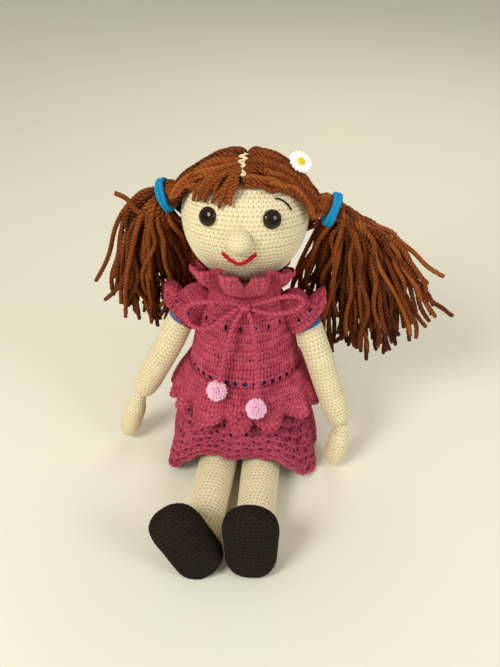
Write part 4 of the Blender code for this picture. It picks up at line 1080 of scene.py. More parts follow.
def slerp(start: Grid, end: Grid, share: Grid) -> Grid:
    """Directions part of the way along great circles from start to end.

    Args:
        start: Directions that the circles leave.
        end: The direction that they reach.
        share: How far along each of them.

    Returns:
        The directions.
    """
    angle = np.arccos(np.clip((start * end).sum(-1, keepdims=True), -1, 1))
    share = np.asarray(share, float)[..., None]
    return (np.sin((1 - share) * angle) * start + np.sin(share * angle) * end) / np.sin(angle)


# Sub-assemblies


@dataclass
class Head:
    """The crocheted head with its nose, eyes, smile, eyebrow and parting stitches."""

    skin: Fabric = Fabric(cell_mm=0.70, relief_mm=0.85, loose=0.45)
    nose_skin: Fabric = Fabric(stitch_mm=2.3, row_mm=2.2, relief_mm=0.24, cell_mm=0.45, loose=0.4)
    smile_floss: Yarn = Yarn(radius_mm=1.15, plies=3, pitch_mm=14.0, relief=0.05, sides=10)
    brow_thread: Yarn = Yarn(radius_mm=0.60, plies=2, pitch_mm=2.0, relief=0.12, sides=8)
    parting_yarn: Yarn = Yarn(radius_mm=0.75, plies=2, pitch_mm=4.0, relief=0.12, sides=8)
    nose_radius: float = 0.0088
    nose_half_height: float = 0.0084
    nose_lift: float = 0.0034
    nose_elevation: float = -2.0
    eye_radius: float = 0.0064
    eye_height: float = 0.0042
    eye_edge: float = 0.0009
    eye_lip: float = 0.0004
    eye_gap: float = 0.0003
    eye_azimuth: float = 28.0
    eye_elevation: float = 14.5

    def build(self) -> None:
        """Make every piece of the head but its hair."""
        self.make_skin()
        self.make_nose()
        for side, name in SIDE_NAMES.items():
            self.make_eye(side, name)
        self.make_smile()
        self.make_eyebrow()
        self.make_parting()

    def make_skin(self) -> None:
        """The stuffed ball in rounds of single crochet."""
        def girths(shares: Grid) -> Grid:
            """Distance round the head at shares up its surface."""
            return FULL_TURN * np.interp(shares * HEAD.walk[-1], HEAD.walk, HEAD.rows[:, 1])

        skin, _ = self.skin.lay("head_crochet", HEAD.place, FULL_TURN * HEAD.radius,
                                float(HEAD.walk[-1]), girths=girths, fade=0.03)
        dress_up(skin, CREAM_YARN, "head", "cream_yarn", "head")

    def make_nose(self) -> None:
        """A little ball sewn on at the middle of the face."""
        centre = HEAD.point(HEAD.towards(0.0, self.nose_elevation), np.array(self.nose_lift))
        reach = np.array([0, 0, self.nose_half_height])
        tube = Tube([centre - reach, centre, centre + reach],
                    ball_rows(self.nose_half_height, self.nose_radius), (1, 0, 0))
        nose = self.nose_skin.lay_tube("nose_crochet", tube, fade=0.1)
        dress_up(nose, CREAM_YARN, "head", "cream_yarn", "nose")

    def make_eye(self, side: int, name: str) -> None:
        """A glossy dome with a thin rim, turned from its profile."""
        direction = HEAD.towards(side * self.eye_azimuth, self.eye_elevation)
        foot = HEAD.point(direction, np.array(self.eye_gap))
        axis = np.array(HEAD.matrix, float)[:3, :3] @ direction
        radius, crown = self.eye_radius, self.eye_height - self.eye_edge
        profile = [(radius * math.cos(a), self.eye_edge + crown * math.sin(a))
                   for a in np.linspace(math.pi / 2, 0, 14)]
        profile[0] = (0.0, self.eye_height)
        profile += [(radius * 1.02, self.eye_lip), (radius * 0.99, 0.0), (0.0, 0.0)]
        dome = bmesh.new()
        rise = dome.verts.layers.float.new("rise")
        chain = [dome.verts.new((x, 0, z)) for x, z in profile]
        edges = [dome.edges.new(pair) for pair in zip(chain, chain[1:])]
        bmesh.ops.spin(dome, geom=chain + edges, cent=(0, 0, 0), axis=(0, 0, 1),
                       angle=FULL_TURN, steps=48, use_merge=True)
        bmesh.ops.remove_doubles(dome, verts=dome.verts, dist=0.005 * MM)
        for vertex in dome.verts:
            vertex[rise] = 1.0 - math.hypot(vertex.co.x, vertex.co.y) / radius
        dome.transform(turned_to(axis, foot))
        bmesh.ops.recalc_face_normals(dome, faces=dome.faces)
        mesh = bpy.data.meshes.new(f"eye_dome_{name}")
        dome.to_mesh(mesh)
        dome.free()
        mesh.shade_smooth()
        dress_up(link(f"eye_dome_{name}", mesh), EYE_PLASTIC, "head", "eye_plastic", f"eye_{name}")

    def make_smile(self) -> None:
        """A sewn smile of red wool in one sweep."""
        share = np.linspace(-1, 1, 60)
        elevation = -15 - 11.5 * (1 - np.abs(share) ** 1.6)
        path = HEAD.point(HEAD.towards(share * 15.5, elevation), 0.0013 + 0 * share)
        taper = np.clip((1 - np.abs(share)) / 0.06, 0.35, 1)
        smile = self.smile_floss.spin("smile_stitch", path[None], taper)
        dress_up(smile, RED_YARN, "head", "red_yarn", "mouth")

    def make_eyebrow(self) -> None:
        """A thin line of black thread over the left eye."""
        turns = smooth_rows(((33.0, 31.0), (39.0, 29.5), (44.5, 25.5), (49.0, 18.5)), 40)
        path = HEAD.point(HEAD.towards(turns[:, 0], turns[:, 1]), np.full(40, 0.0009))
        taper = np.clip(np.minimum(np.linspace(0.3, 8, 40), np.linspace(8, 0.3, 40)), 0, 1)
        brow = self.brow_thread.spin("eyebrow_stitch", path[None], taper)
        dress_up(brow, BLACK_THREAD, "head", "black_thread", "eyebrow_left")

    def make_parting(self) -> None:
        """The cream stitches that sew the hair down along the parting."""
        chance = noise(3)
        paths = []
        for k, turn in enumerate(np.linspace(49, 72, 7)):
            reach = (2.6 + 1.8 * chance.random()) * MM
            lean = (-1) ** k * 2.6 + chance.normal(0, 1.0)
            shift = chance.normal(0, 0.5) * MM
            ends = []
            for x, lift in ((-1.0, 4.4), (-0.55, 6.2), (0.0, 6.5), (0.55, 6.2), (1.0, 4.4)):
                a = math.radians(turn + lean * x)
                way = np.array([(x * reach + shift) / HEAD.radius, -math.cos(a), math.sin(a)])
                ends.append(HEAD.point(way, np.array(lift * MM)))
            paths.append(smooth_rows(ends, 16))
        spine = []
        for turn in np.linspace(48, 76, 9):
            a = math.radians(turn)
            way = np.array([chance.normal(0, 0.008), -math.cos(a), math.sin(a)])
            spine.append(HEAD.point(way, np.array(5.9 * MM)))
        stitches = self.parting_yarn.spin("parting_stitches_yarn", np.array(paths))
        dress_up(stitches, CREAM_YARN, "head", "cream_yarn", "parting_stitches")
        line = self.parting_yarn.spin("parting_line_yarn", smooth_rows(spine, 70)[None])
        dress_up(line, CREAM_YARN, "head", "cream_yarn")


@dataclass
class Hair:
    """Strands from the parting to the ties, the fringe, both pigtails, the bands and the daisy."""

    strand: Yarn = Yarn(radius_mm=1.65, plies=3, pitch_mm=10.5, relief=0.13, sides=8)
    thick_strand: Yarn = Yarn(radius_mm=1.80, plies=3, pitch_mm=10.5, relief=0.13, sides=7)
    cut_strand: Yarn = Yarn(radius_mm=1.6, plies=3, pitch_mm=8.0, relief=0.15, sides=9)
    elastic: Yarn = Yarn(radius_mm=1.65, plies=6, pitch_mm=16.0, relief=0.10, sides=18)
    petal: Yarn = Yarn(radius_mm=1.45, plies=2, pitch_mm=60.0, relief=0.05, sides=12)
    daisy_cloth: Fabric = Fabric(Stitch.SINGLE, stitch_mm=1.1, row_mm=1.0, relief_mm=0.35, cell_mm=0.22)
    under_cloth: Fabric = Fabric(Stitch.DOUBLE, stitch_mm=2.8, row_mm=30.0, relief_mm=0.4, cell_mm=1.3,
                                 thickness_mm=0.7)
    hairline_front: float = 41.5
    hairline_nape: float = 218.0
    strands: int = 52
    roll_strands: int = 16
    step: float = 0.0018
    gather_radius: float = 0.0072
    fan_ends: dict = by_side(
        ((0.0, -0.021, -0.092), (0.2, -0.002, -0.132), (0.45, 0.034, -0.138), (0.72, 0.062, -0.116),
         (1.0, 0.082, -0.074)),
        ((0.0, 0.026, -0.088), (0.2, 0.012, -0.110), (0.5, -0.013, -0.120), (0.75, -0.032, -0.114),
         (1.0, -0.046, -0.096)))
    fan_slants: dict = by_side(0.45, 0.10)
    fan_strands: dict = by_side(132, 118)
    fan_spreads: dict = by_side(1.4, 0.7)
    fan_lifts: dict = by_side((-0.010, 0.036, 0.042), (-0.010, 0.010, 0.018))

    def build(self) -> None:
        """Make the hair."""
        for side, name in SIDE_NAMES.items():
            self.make_cap(side, name)
            self.make_side(side, name)
            self.make_roll(side, name)
            self.make_band(side, name)
            self.make_pigtail(side, name)
        self.make_fringe()
        self.make_daisy()

    def make_cap(self, side: int, name: str) -> None:
        """The lower layer of strands, seen only as dark between the upper ones."""
        tie = HEAD.own(TIE_CENTRES[side])

        def place(u: Grid, v: Grid) -> Grid:
            """Points over the head from the parting to the tie."""
            turn = np.radians(self.hairline_front + 3.0
                              + (self.hairline_nape - self.hairline_front - 6.0) * u)
            start = unit(np.stack([side * 0.012 + 0 * turn, -np.cos(turn), np.sin(turn)], -1))
            lift = 0.0012 + 0.0006 * np.abs(np.sin(math.pi * self.strands * u))
            return HEAD.point(slerp(start, tie, v * 0.93), lift)

        cap, _ = self.under_cloth.lay(f"hair_under_{name}", place, 0.15, 0.075, closed=False,
                                      inside=HEAD.centre)
        # The darker wool is the painted shadow of the strands over this layer.
        dress_up(cap, HAIR_UNDER, "head", "chestnut_yarn")

    def sweep(self, side: int, turns: Grid, lifts: Grid, sag: Grid, ring: Grid,
              chance: np.random.Generator) -> Grid:
        """Paths from the parting round the head and through the tie.

        Args:
            side: The side of the head.
            turns: Where on the parting each strand starts, in degrees over the head.
            lifts: Height of each strand over the head, in millimetres.
            sag: How far each strand hangs towards the face half way.
            ring: Distance of each strand from the tie's axis.
            chance: The source of chance.

        Returns:
            Strands by points by x, y and z.
        """
        tie, axis, centre = HEAD.own(TIE_CENTRES[side]), tie_axis(side), np.array(TIE_CENTRES[side])
        number = len(turns)
        turns = np.radians(turns + chance.normal(0, 0.5, number))
        start = unit(np.stack([np.full(number, side * 0.03), -np.cos(turns), np.sin(turns)], -1))
        controls = []
        for share, drop in ((0.0, -1.6), (0.06, 0.2), (0.16, 0.6), (0.28, 0.4), (0.40, 0.3),
                            (0.52, 0.3), (0.64, 0.6), (0.75, 1.4), (0.84, 2.4)):
            way = slerp(start, tie, np.full(number, share))
            aside = unit(np.cross(way, tie)) * -side
            late = min(max((share - 0.45) / 0.35, 0.0), 1.0)
            swing = sag * late * late + chance.normal(0, 0.024, number) * (share > 0)
            rough = chance.normal(0, 0.55, number) * (0.05 < share < 0.8)
            controls.append(HEAD.point(way + aside * swing[:, None], (lifts + drop + rough) * MM))
        last = controls[-1] - centre
        spoke = unit(last - axis * (last @ axis)[:, None])
        for back, grow in ((0.0095, 1.18), (0.0050, 0.92), (0.0, 0.76), (-0.0020, 0.74)):
            controls.append(centre - axis * back + spoke * (ring * grow)[:, None])
        controls = np.stack(controls, axis=1)
        return np.stack([smooth_rows(c, int(0.078 / self.step)) for c in controls])

    def make_side(self, side: int, name: str) -> None:
        """The strands that run from the parting to the tie."""
        chance = noise(11 + side)
        turns = np.linspace(self.hairline_front, self.hairline_nape, self.strands)
        turns = np.concatenate([turns, turns[:-1] + 1.7])
        upper = np.arange(len(turns)) < self.strands
        lifts = np.where(upper, 3.9, 2.2) + chance.normal(0, 0.4, len(turns))
        ring = self.gather_radius * np.where(upper, 0.90, 0.55) * (1 + chance.normal(0, 0.06, len(turns)))
        paths = self.sweep(side, turns, lifts, np.zeros(len(turns)), ring, chance)
        taper = np.interp(np.linspace(0, 1, paths.shape[1]), [0, 0.03, 0.6, 0.88, 1],
                          [0.8, 1, 1, 0.72, 0.55])
        # The lower strands are darker: painted shade under the upper strands.
        tones = chance.normal(0, 0.10, len(turns)) - np.where(upper, 0.0, 0.12)
        hair = self.strand.spin(f"hair_strands_{name}", paths, taper, tones)
        dress_up(hair, HAIR_YARN, "head", "chestnut_yarn", f"hair_{name}")

    def make_roll(self, side: int, name: str) -> None:
        """Loose strands that roll over the brow and sag before the tie."""
        chance = noise(23 + side)
        number = self.roll_strands
        turns = self.hairline_front + np.linspace(2.5, 38, number)
        lifts = 5.6 + chance.uniform(-1.2, 1.6, number)
        sag = np.linspace(0.20, 0.02, number) + chance.normal(0, 0.03, number)
        ring = self.gather_radius * chance.uniform(0.86, 1.02, number)
        paths = self.sweep(side, turns, lifts, sag, ring, chance)
        taper = np.interp(np.linspace(0, 1, paths.shape[1]), [0, 0.04, 0.75, 0.90, 1],
                          [0.7, 1, 1, 0.7, 0.5])
        roll = self.thick_strand.spin(f"hair_roll_{name}", paths, taper, chance.normal(0.02, 0.12, number))
        dress_up(roll, HAIR_YARN, "head", "chestnut_yarn")

    def make_band(self, side: int, name: str) -> None:
        """The ribbed elastic wound round the gathered hair."""
        axis, centre = tie_axis(side), np.array(TIE_CENTRES[side])
        middle = centre - axis * 0.0031
        u = unit(np.cross(axis, (0, 1, 0)))
        w = np.cross(axis, u)
        angle = np.linspace(0, FULL_TURN, 121)
        paths = []
        for shift, radius in ((-0.0013, 0.0104), (0.0013, 0.0107)):
            ring = (np.cos(angle)[:, None] * u + np.sin(angle)[:, None] * w) * radius
            wave = axis * (shift + 0.0003 * np.sin(3 * angle + shift * 900))[:, None]
            paths.append(middle + ring + wave)
        band = self.elastic.spin(f"hair_elastic_{name}", np.array(paths), closed=True)
        dress_up(band, BAND_YARN, "head", "sky_blue_band", f"hair_tie_{name}")

    def fan(self, side: int, chance: np.random.Generator) -> tuple[Grid, Grid]:
        """Routes of a pigtail's strands, which leave the tie together and fan out.

        Args:
            side: The side of the head.
            chance: The source of chance.

        Returns:
            Strands by points by x, y and z, and how far each lies from the bundle's middle, from 0 to 1.
        """
        centre, axis = np.array(TIE_CENTRES[side]), tie_axis(side)
        number = self.fan_strands[side]
        reach = np.sqrt((np.arange(number) + 0.5) / number)
        turn = golden_turns(number) + chance.normal(0, 0.2, number)
        over, deep = reach * np.cos(turn), reach * np.sin(turn)
        share = 0.5 + 0.5 * np.sign(over) * np.abs(over) ** 0.9
        table = np.array(self.fan_ends[side])
        ends = np.zeros((number, 3))
        ends[:, 0] = np.interp(share, table[:, 0], table[:, 1])
        ends[:, 2] = np.interp(share, table[:, 0], table[:, 2])
        shorter = np.clip(chance.normal(0, 0.10, number), -0.24, 0.05) - 0.12 * np.abs(deep) ** 2
        ends *= (1 + shorter)[:, None]
        ends[:, 1] = 0.034 - 0.022 * share + deep * 0.013
        locks = 13
        lock = np.clip(share * (locks - 1) + chance.normal(0, 0.35, number), 0, locks - 1).astype(int)
        ends += chance.normal(0, 1.0, (locks, 3))[lock] * np.array([0.0045, 0.003, 0.006])
        around = np.cross(axis, (0, 1, 0))
        spread = (around * -over[:, None] + np.array([0, 1, 0]) * deep[:, None]) * 0.0068
        root = centre - axis * 0.0052 + spread * 0.9
        through = centre + axis * 0.0015 + spread
        away = np.stack([side * self.fan_slants[side] * share**1.5, 0 * share, -1 + 0.3 * share], -1)
        low, lift, forth = self.fan_lifts[side]
        out = 0.004 + forth * share - 0.014 * (1 - share) ** 4
        leave = through + axis * out[:, None] + np.array([0.0, 0.0, 1.0]) * (low + lift * share)[:, None]
        leave = leave + spread * self.fan_spreads[side]
        if side == RIGHT:
            front = np.clip(-deep, 0, 1)[:, None]
            leave = leave - axis * 0.008 * front - np.array([0, 0.016, 0]) * front
            ends[-1], away[-1] = (-0.040, 0.004, -0.006), (-1.0, 0.0, -0.1)
        fall = (np.linalg.norm(ends, axis=1) * 0.50)[:, None]
        arrive = centre + ends - unit(away) * fall
        arrive[:, 1] = centre[1] + ends[:, 1] * 0.75
        count = int(0.150 / self.step)
        far = np.linspace(0, 1, count)[None, :, None]
        first = root[:, None] * (1 - far) + through[:, None] * far
        curve = bezier(far, through, leave, arrive, centre + ends)
        return np.concatenate([first[:, :: count // 4][:, :4], curve[:, 1:]], axis=1), reach

    def tousle(self, side: int, paths: Grid, chance: np.random.Generator) -> Grid:
        """Strands with slow and quick waves, curled cut ends and a few that stray.

        Args:
            side: The side of the head.
            paths: Strands by points by x, y and z.
            chance: The source of chance.

        Returns:
            The strands, in the same form.
        """
        number = len(paths)
        share = np.linspace(0, 1, paths.shape[1])
        for low, high, size in ((0.6, 1.5, 5.6), (1.8, 3.4, 2.8)):
            waves = chance.uniform(low, high, number)[:, None] * share + chance.random(number)[:, None]
            swing = chance.uniform(0.3, size, number)[:, None] * MM * np.clip((share - 0.08) * 2.5, 0, 1)
            way = unit(chance.normal(0, 1, (number, 3)) * np.array([1, 0.8, 0.5]))
            paths = paths + way[:, None] * (swing * np.sin(FULL_TURN * waves))[..., None]
        hooks = chance.uniform(0, 7, number) + 9 * (chance.random(number) < 0.22)
        curl = np.clip((share - 0.72) / 0.28, 0, 1) ** 2 * hooks[:, None] * MM
        curl_way = unit(chance.normal(0, 1, (number, 3)) * np.array([1, 0.7, 0.3]) + (-0.3 * side, 0, 0.4))
        paths = paths + curl_way[:, None] * curl[..., None]
        stray = (chance.random(number) < 0.12)[:, None] * np.clip((share - 0.3) / 0.7, 0, 1) ** 1.5
        return paths + curl_way[:, None] * (stray * 0.009)[..., None]

    def make_pigtail(self, side: int, name: str) -> None:
        """Strands that leave the tie together, fan out and hang to cut ends."""
        chance = noise(40 + side)
        paths, reach = self.fan(side, chance)
        paths = self.tousle(side, paths, chance)
        share = np.linspace(0, 1, paths.shape[1])
        taper = np.interp(share, [0, 0.06, 0.2, 0.97, 1], [0.5, 0.6, 1, 1, 0.85])
        # Strands near the bundle's middle are darker: painted shade inside the pigtail.
        tones = chance.normal(0, 0.17, len(paths)) - 0.35 * (1 - reach)
        tail = self.thick_strand.spin(f"pigtail_strands_{name}", paths, taper, tones)
        dress_up(tail, HAIR_YARN, f"pigtail_{name}", "chestnut_yarn", f"pigtail_{name}")

    def make_fringe(self) -> None:
        """Short cut strands that fan out from the front of the parting over the right brow."""
        chance = noise(7)
        points = 24
        share = np.linspace(0, 1, points)
        paths = []
        for azimuth in np.linspace(-45, -6, 15):
            azimuth = azimuth + chance.normal(0, 2.6)
            elevation = 25.0 + chance.uniform(-4.0, 6.5) + 0.08 * abs(azimuth + 18)
            root = 53.0 + chance.uniform(-3.0, 3.0)
            bend = chance.normal(0, 3.2)
            turns = smooth_rows(((azimuth * 0.12 - 1, root + 2), (azimuth * 0.36, root - 2.0),
                                 (azimuth * 0.74 + bend, 0.45 * root + 0.55 * elevation),
                                 (azimuth, elevation + 2.5), (azimuth - bend * 0.5, elevation)), points)
            top = 8.8 + chance.uniform(-1.2, 1.2)
            lift = np.interp(share, [0, 0.2, 0.55, 0.8, 1], [top - 3, top, top, 5.6, 3.2]) * MM
            paths.append(HEAD.point(HEAD.towards(turns[:, 0], turns[:, 1]), lift))
        taper = np.interp(share, [0, 0.1, 0.9, 1], [0.7, 1, 1, 0.7])
        tones = chance.normal(0.06, 0.1, len(paths))
        fringe = self.cut_strand.spin("fringe_strands", np.array(paths), taper, tones)
        dress_up(fringe, HAIR_YARN, "head", "chestnut_yarn", "fringe")

    def make_daisy(self) -> None:
        """A crocheted daisy: separate petals round a nubbly centre."""
        place = turned_to(Vector((0.42, -0.46, 0.78)).normalized(), (0.0372, 0.0070, 0.2560))
        petals, points = 17, 14
        share = np.linspace(0, 1, points)
        angle = np.linspace(0, FULL_TURN, petals, endpoint=False)
        reach = (2.0 + 6.4 * share) * MM
        lift = (0.5 + 0.9 * np.sin(math.pi * share * 0.9)) * MM
        paths = np.stack([
            np.cos(angle)[:, None] * reach, np.sin(angle)[:, None] * reach,
            np.broadcast_to(lift, (petals, points)) + (np.arange(petals) % 2)[:, None] * 0.25 * MM,
        ], -1)
        taper = np.interp(share, [0, 0.3, 0.75, 0.93, 1], [0.45, 0.75, 1.0, 0.8, 0.3])
        flower = self.petal.spin("daisy_petals_cotton", paths, taper, across=(0.0, 0.0, 1.0))
        lowest, thinner = 0.45 * MM, 0.62
        flat = read_points(flower.data)
        flat[:, 2] = lowest + (flat[:, 2] - lowest) * thinner
        write_points(flower.data, flat)
        flower.data.transform(place)
        dress_up(flower, WHITE_COTTON, "head", "white_thread", "daisy_petals")
        tube = Tube([(0, 0, 0.0002), (0, 0, 0.0014), (0, 0, 0.0026)], ball_rows(0.0012, 0.0027), (1, 0, 0))
        centre = self.daisy_cloth.lay_tube("daisy_centre_cotton", tube, fade=0.1)
        centre.data.transform(place)
        dress_up(centre, YELLOW_COTTON, "head", "yellow_thread", "daisy_centre")


@dataclass
class Limbs:
    """The stuffed neck, body, arms, hands, legs and shoes."""

    skin: Fabric = Fabric(relief_mm=0.62, cell_mm=0.62, loose=0.5)
    coarse: Fabric = Fabric(cell_mm=1.1)
    shoe_skin: Fabric = Fabric(relief_mm=0.65, cell_mm=0.6, loose=0.6)
    shoulder_radius: float = 0.0095
    arm_radius: float = 0.0108
    wrist_radius: float = 0.0052
    leg_radius: float = 0.0150
    hand_half: tuple = (0.0100, 0.0088)
    shoe_length: float = 0.0595
    shoe_half: tuple = (0.0200, 0.0145)
    shoe_behind_ankle: float = 0.0170
    shoe_leans: dict = by_side(math.radians(6), math.radians(13))
    shoe_turns: dict = by_side(math.radians(-1), math.radians(-36))
    shoulders: dict = by_side((0.03735, 0.004, 0.143), (-0.03735, 0.004, 0.143))
    arm_bends: dict = by_side(((0.0475, 0.000, 0.129), (0.0545, -0.006, 0.114)),
                              ((-0.0485, 0.000, 0.128), (-0.0590, -0.004, 0.106)))
    wrists: dict = by_side((0.0815, -0.020, 0.040), (-0.0880, -0.008, 0.049))
    hand_tips: dict = by_side((0.0765, -0.025, 0.0015), (-0.1035, -0.010, 0.0045))
    hips: dict = by_side((0.0175, -0.02485, 0.0145), (-0.0175, -0.02485, 0.0145))
    ankles: dict = by_side((0.0170, -0.1295, 0.0150), (-0.0215, -0.1330, 0.0150))
    arm_shares: tuple = (
        (0.0, 0.0), (0.012, 0.42), (0.045, 0.74), (0.10, 0.885), (0.25, 0.98), (0.50, 1.00),
        (0.75, 0.98), (0.90, 0.92), (0.97, 0.76), (1.00, 0.56), (1.00, 0.0))
    hand_shares: tuple = (
        (0.0, 0.0, 0.0), (0.03, 0.35, 0.40), (0.12, 0.53, 0.60), (0.20, 0.62, 0.68),
        (0.34, 0.90, 0.92), (0.56, 1.00, 1.00), (0.78, 0.94, 0.94), (0.92, 0.66, 0.68),
        (1.0, 0.0, 0.0))
    leg_shares: tuple = (
        (0.0, 0.0), (0.012, 0.42), (0.05, 0.76), (0.12, 0.965), (0.30, 1.00), (0.60, 0.97),
        (0.82, 0.91), (0.94, 0.86), (0.985, 0.66), (1.0, 0.0))
    shoe_shares: tuple = (
        (0.0, 0.0, 0.0), (0.012, 0.40, 0.52), (0.06, 0.70, 0.88), (0.17, 0.90, 1.08),
        (0.34, 0.95, 1.10), (0.52, 0.98, 0.96), (0.72, 1.00, 0.88), (0.88, 0.86, 0.74),
        (0.965, 0.56, 0.48), (1.0, 0.0, 0.0))

    def build(self) -> None:
        """Make the stuffed pieces."""
        self.make_body()
        self.make_neck()
        for side, name in SIDE_NAMES.items():
            self.make_arm(side, name)
            self.make_hand(side, name)
            self.make_leg(side, name)
            self.make_shoe(side, name)

    def stuffed(self, name: str, tube: Tube, fabric: Fabric, finish: YarnFinish, body: str, slot: str,
                node: str, place: Optional[Place] = None) -> None:
        """Args:
            name: The piece's name.
            tube: The tube.
            fabric: How it is worked.
            finish: What it is made of.
            body: The body that carries it.
            slot: The record's material slot.
            node: The solid that it replaces.
            place: Another formula for the points, where the tube's own is changed.
        """
        piece = fabric.lay_tube(name, tube, place=place)
        press_on_table(piece)
        dress_up(piece, finish, body, slot, node)

    def limb(self, kind: str, name: str, route: list, shares: Sequence, half: tuple[float, float],
             finish: YarnFinish = CREAM_YARN, across: Sequence[float] = (0, 1, 0),
             samples: int = 64, low: Optional[float] = 0.0) -> None:
        """Make an arm, a hand or a leg.

        Args:
            kind: Which of them.
            name: Its side.
            route: Points of the centre line.
            shares: Shares of the length, with shares of the half width and half depth there.
            half: The full half width and half depth.
            finish: What it is made of.
            across: The direction of the width.
            samples: Points along the route by which its length is measured.
            low: A level that it rests on and doesn't pass.
        """
        length = run_length(smooth_rows(route, samples))[-1]
        rows = [(share[0] * length, share[1] * half[0], share[-1] * half[1]) for share in shares]
        tube = Tube(route, rows, across, low)
        self.stuffed(f"{kind}_crochet_{name}", tube, self.skin, finish, f"{kind}_{name}",
                     "cream_yarn", f"{kind}_{name}")

    def make_body(self) -> None:
        """The body, worked in blue below the neck, which shows through the eyelets."""
        tube = Tube(BODY.route(), BODY.rows(), (1, 0, 0), 0.0)
        self.stuffed("body_crochet", tube, self.coarse, BODY_YARN, "torso", "blue_yarn", "torso")

    def make_neck(self) -> None:
        """The neck between the collar and the head."""
        foot, pivot, radius = 0.1643, 0.170, 0.012
        rows = [(0.0, 0.0), (0.0, 0.0084), (0.0012, 0.0105)]
        for a in map(math.radians, np.linspace(-20, 90, 9)):
            rows.append((pivot - foot + radius * math.sin(a), radius * math.cos(a)))
        tube = Tube([(0, 0.008, foot), (0, 0.010, pivot), (0, 0.010, pivot + radius)],
                    [(d, r, r) for d, r in rows], (1, 0, 0))
        self.stuffed("neck_crochet", tube, self.skin, CREAM_YARN, "neck", "cream_yarn", "neck")

    def make_arm(self, side: int, name: str) -> None:
        """An arm from the top of the shoulder to the wrist, whose first rounds are worked in blue."""
        ball, wrist = np.array(self.shoulders[side]), np.array(self.wrists[side])
        bends = [np.array(b) for b in self.arm_bends[side]]
        heading, into = unit(bends[0] - ball), unit(wrist - bends[-1])
        end = wrist - into * (self.wrist_radius + 0.0003)
        route = [ball - heading * self.shoulder_radius, ball, *bends, (bends[-1] + end) / 2, end]
        self.limb("arm", name, route, self.arm_shares, (self.arm_radius, self.arm_radius),
                  ARM_YARN, samples=96, low=None)

    def make_hand(self, side: int, name: str) -> None:
        """A mitten hand below the drawn-in wrist."""
        wrist, tip = np.array(self.wrists[side]), np.array(self.hand_tips[side])
        start = wrist - unit(tip - wrist) * self.wrist_radius
        route = [start, wrist, (wrist + tip) / 2, tip]
        self.limb("hand", name, route, self.hand_shares, self.hand_half)

    def make_leg(self, side: int, name: str) -> None:
        """A leg that lies in front of the body."""
        ball, ankle = np.array(self.hips[side]), np.array(self.ankles[side])
        route = [ball + np.array([0, self.leg_radius, 0]), ball, (ball + ankle) / 2, ankle]
        self.limb("leg", name, route, self.leg_shares, (self.leg_radius, self.leg_radius),
                  across=(1, 0, 0))

    def make_shoe(self, side: int, name: str) -> None:
        """A shoe with its heel on the table and its toe up."""
        lean, turn, ankle = self.shoe_leans[side], self.shoe_turns[side], self.ankles[side]
        length, (half_width, half_depth), flatter = self.shoe_length, self.shoe_half, 0.62
        up = np.array([math.sin(turn) * math.cos(lean), math.sin(lean), math.cos(turn) * math.cos(lean)])
        back = ankle[1] - self.shoe_behind_ankle + half_depth
        heel = np.array([ankle[0] - up[0] * ankle[2], back, -0.0005])
        rows = [(a * length, b * half_width, c * half_depth) for a, b, c in self.shoe_shares]
        tube = Tube([heel, heel + up * length / 2, heel + up * length], rows, (1, 0, 0))
        sole = np.array([0, -math.cos(lean), math.sin(lean)])

        def place(u: Grid, v: Grid) -> Grid:
            """Points of the tube, pressed nearly flat under the sole and on the table."""
            points = tube.place(u, v)
            out = (points - heel) @ sole
            extra = np.maximum(out - half_depth * flatter, 0.0) * flatter
            points = points - sole * extra[..., None]
            points[..., 2] = np.maximum(points[..., 2], 0.0)
            return points

        self.stuffed(f"shoe_crochet_{name}", tube, self.shoe_skin, SHOE_YARN, f"leg_{name}",
                     "dark_brown_yarn", f"shoe_{name}", place)


def from_front(angle: Grid) -> Grid:
    """How far an angle round the body is from the front, either way."""
    return np.abs((angle + math.pi / 2 + math.pi) % FULL_TURN - math.pi)


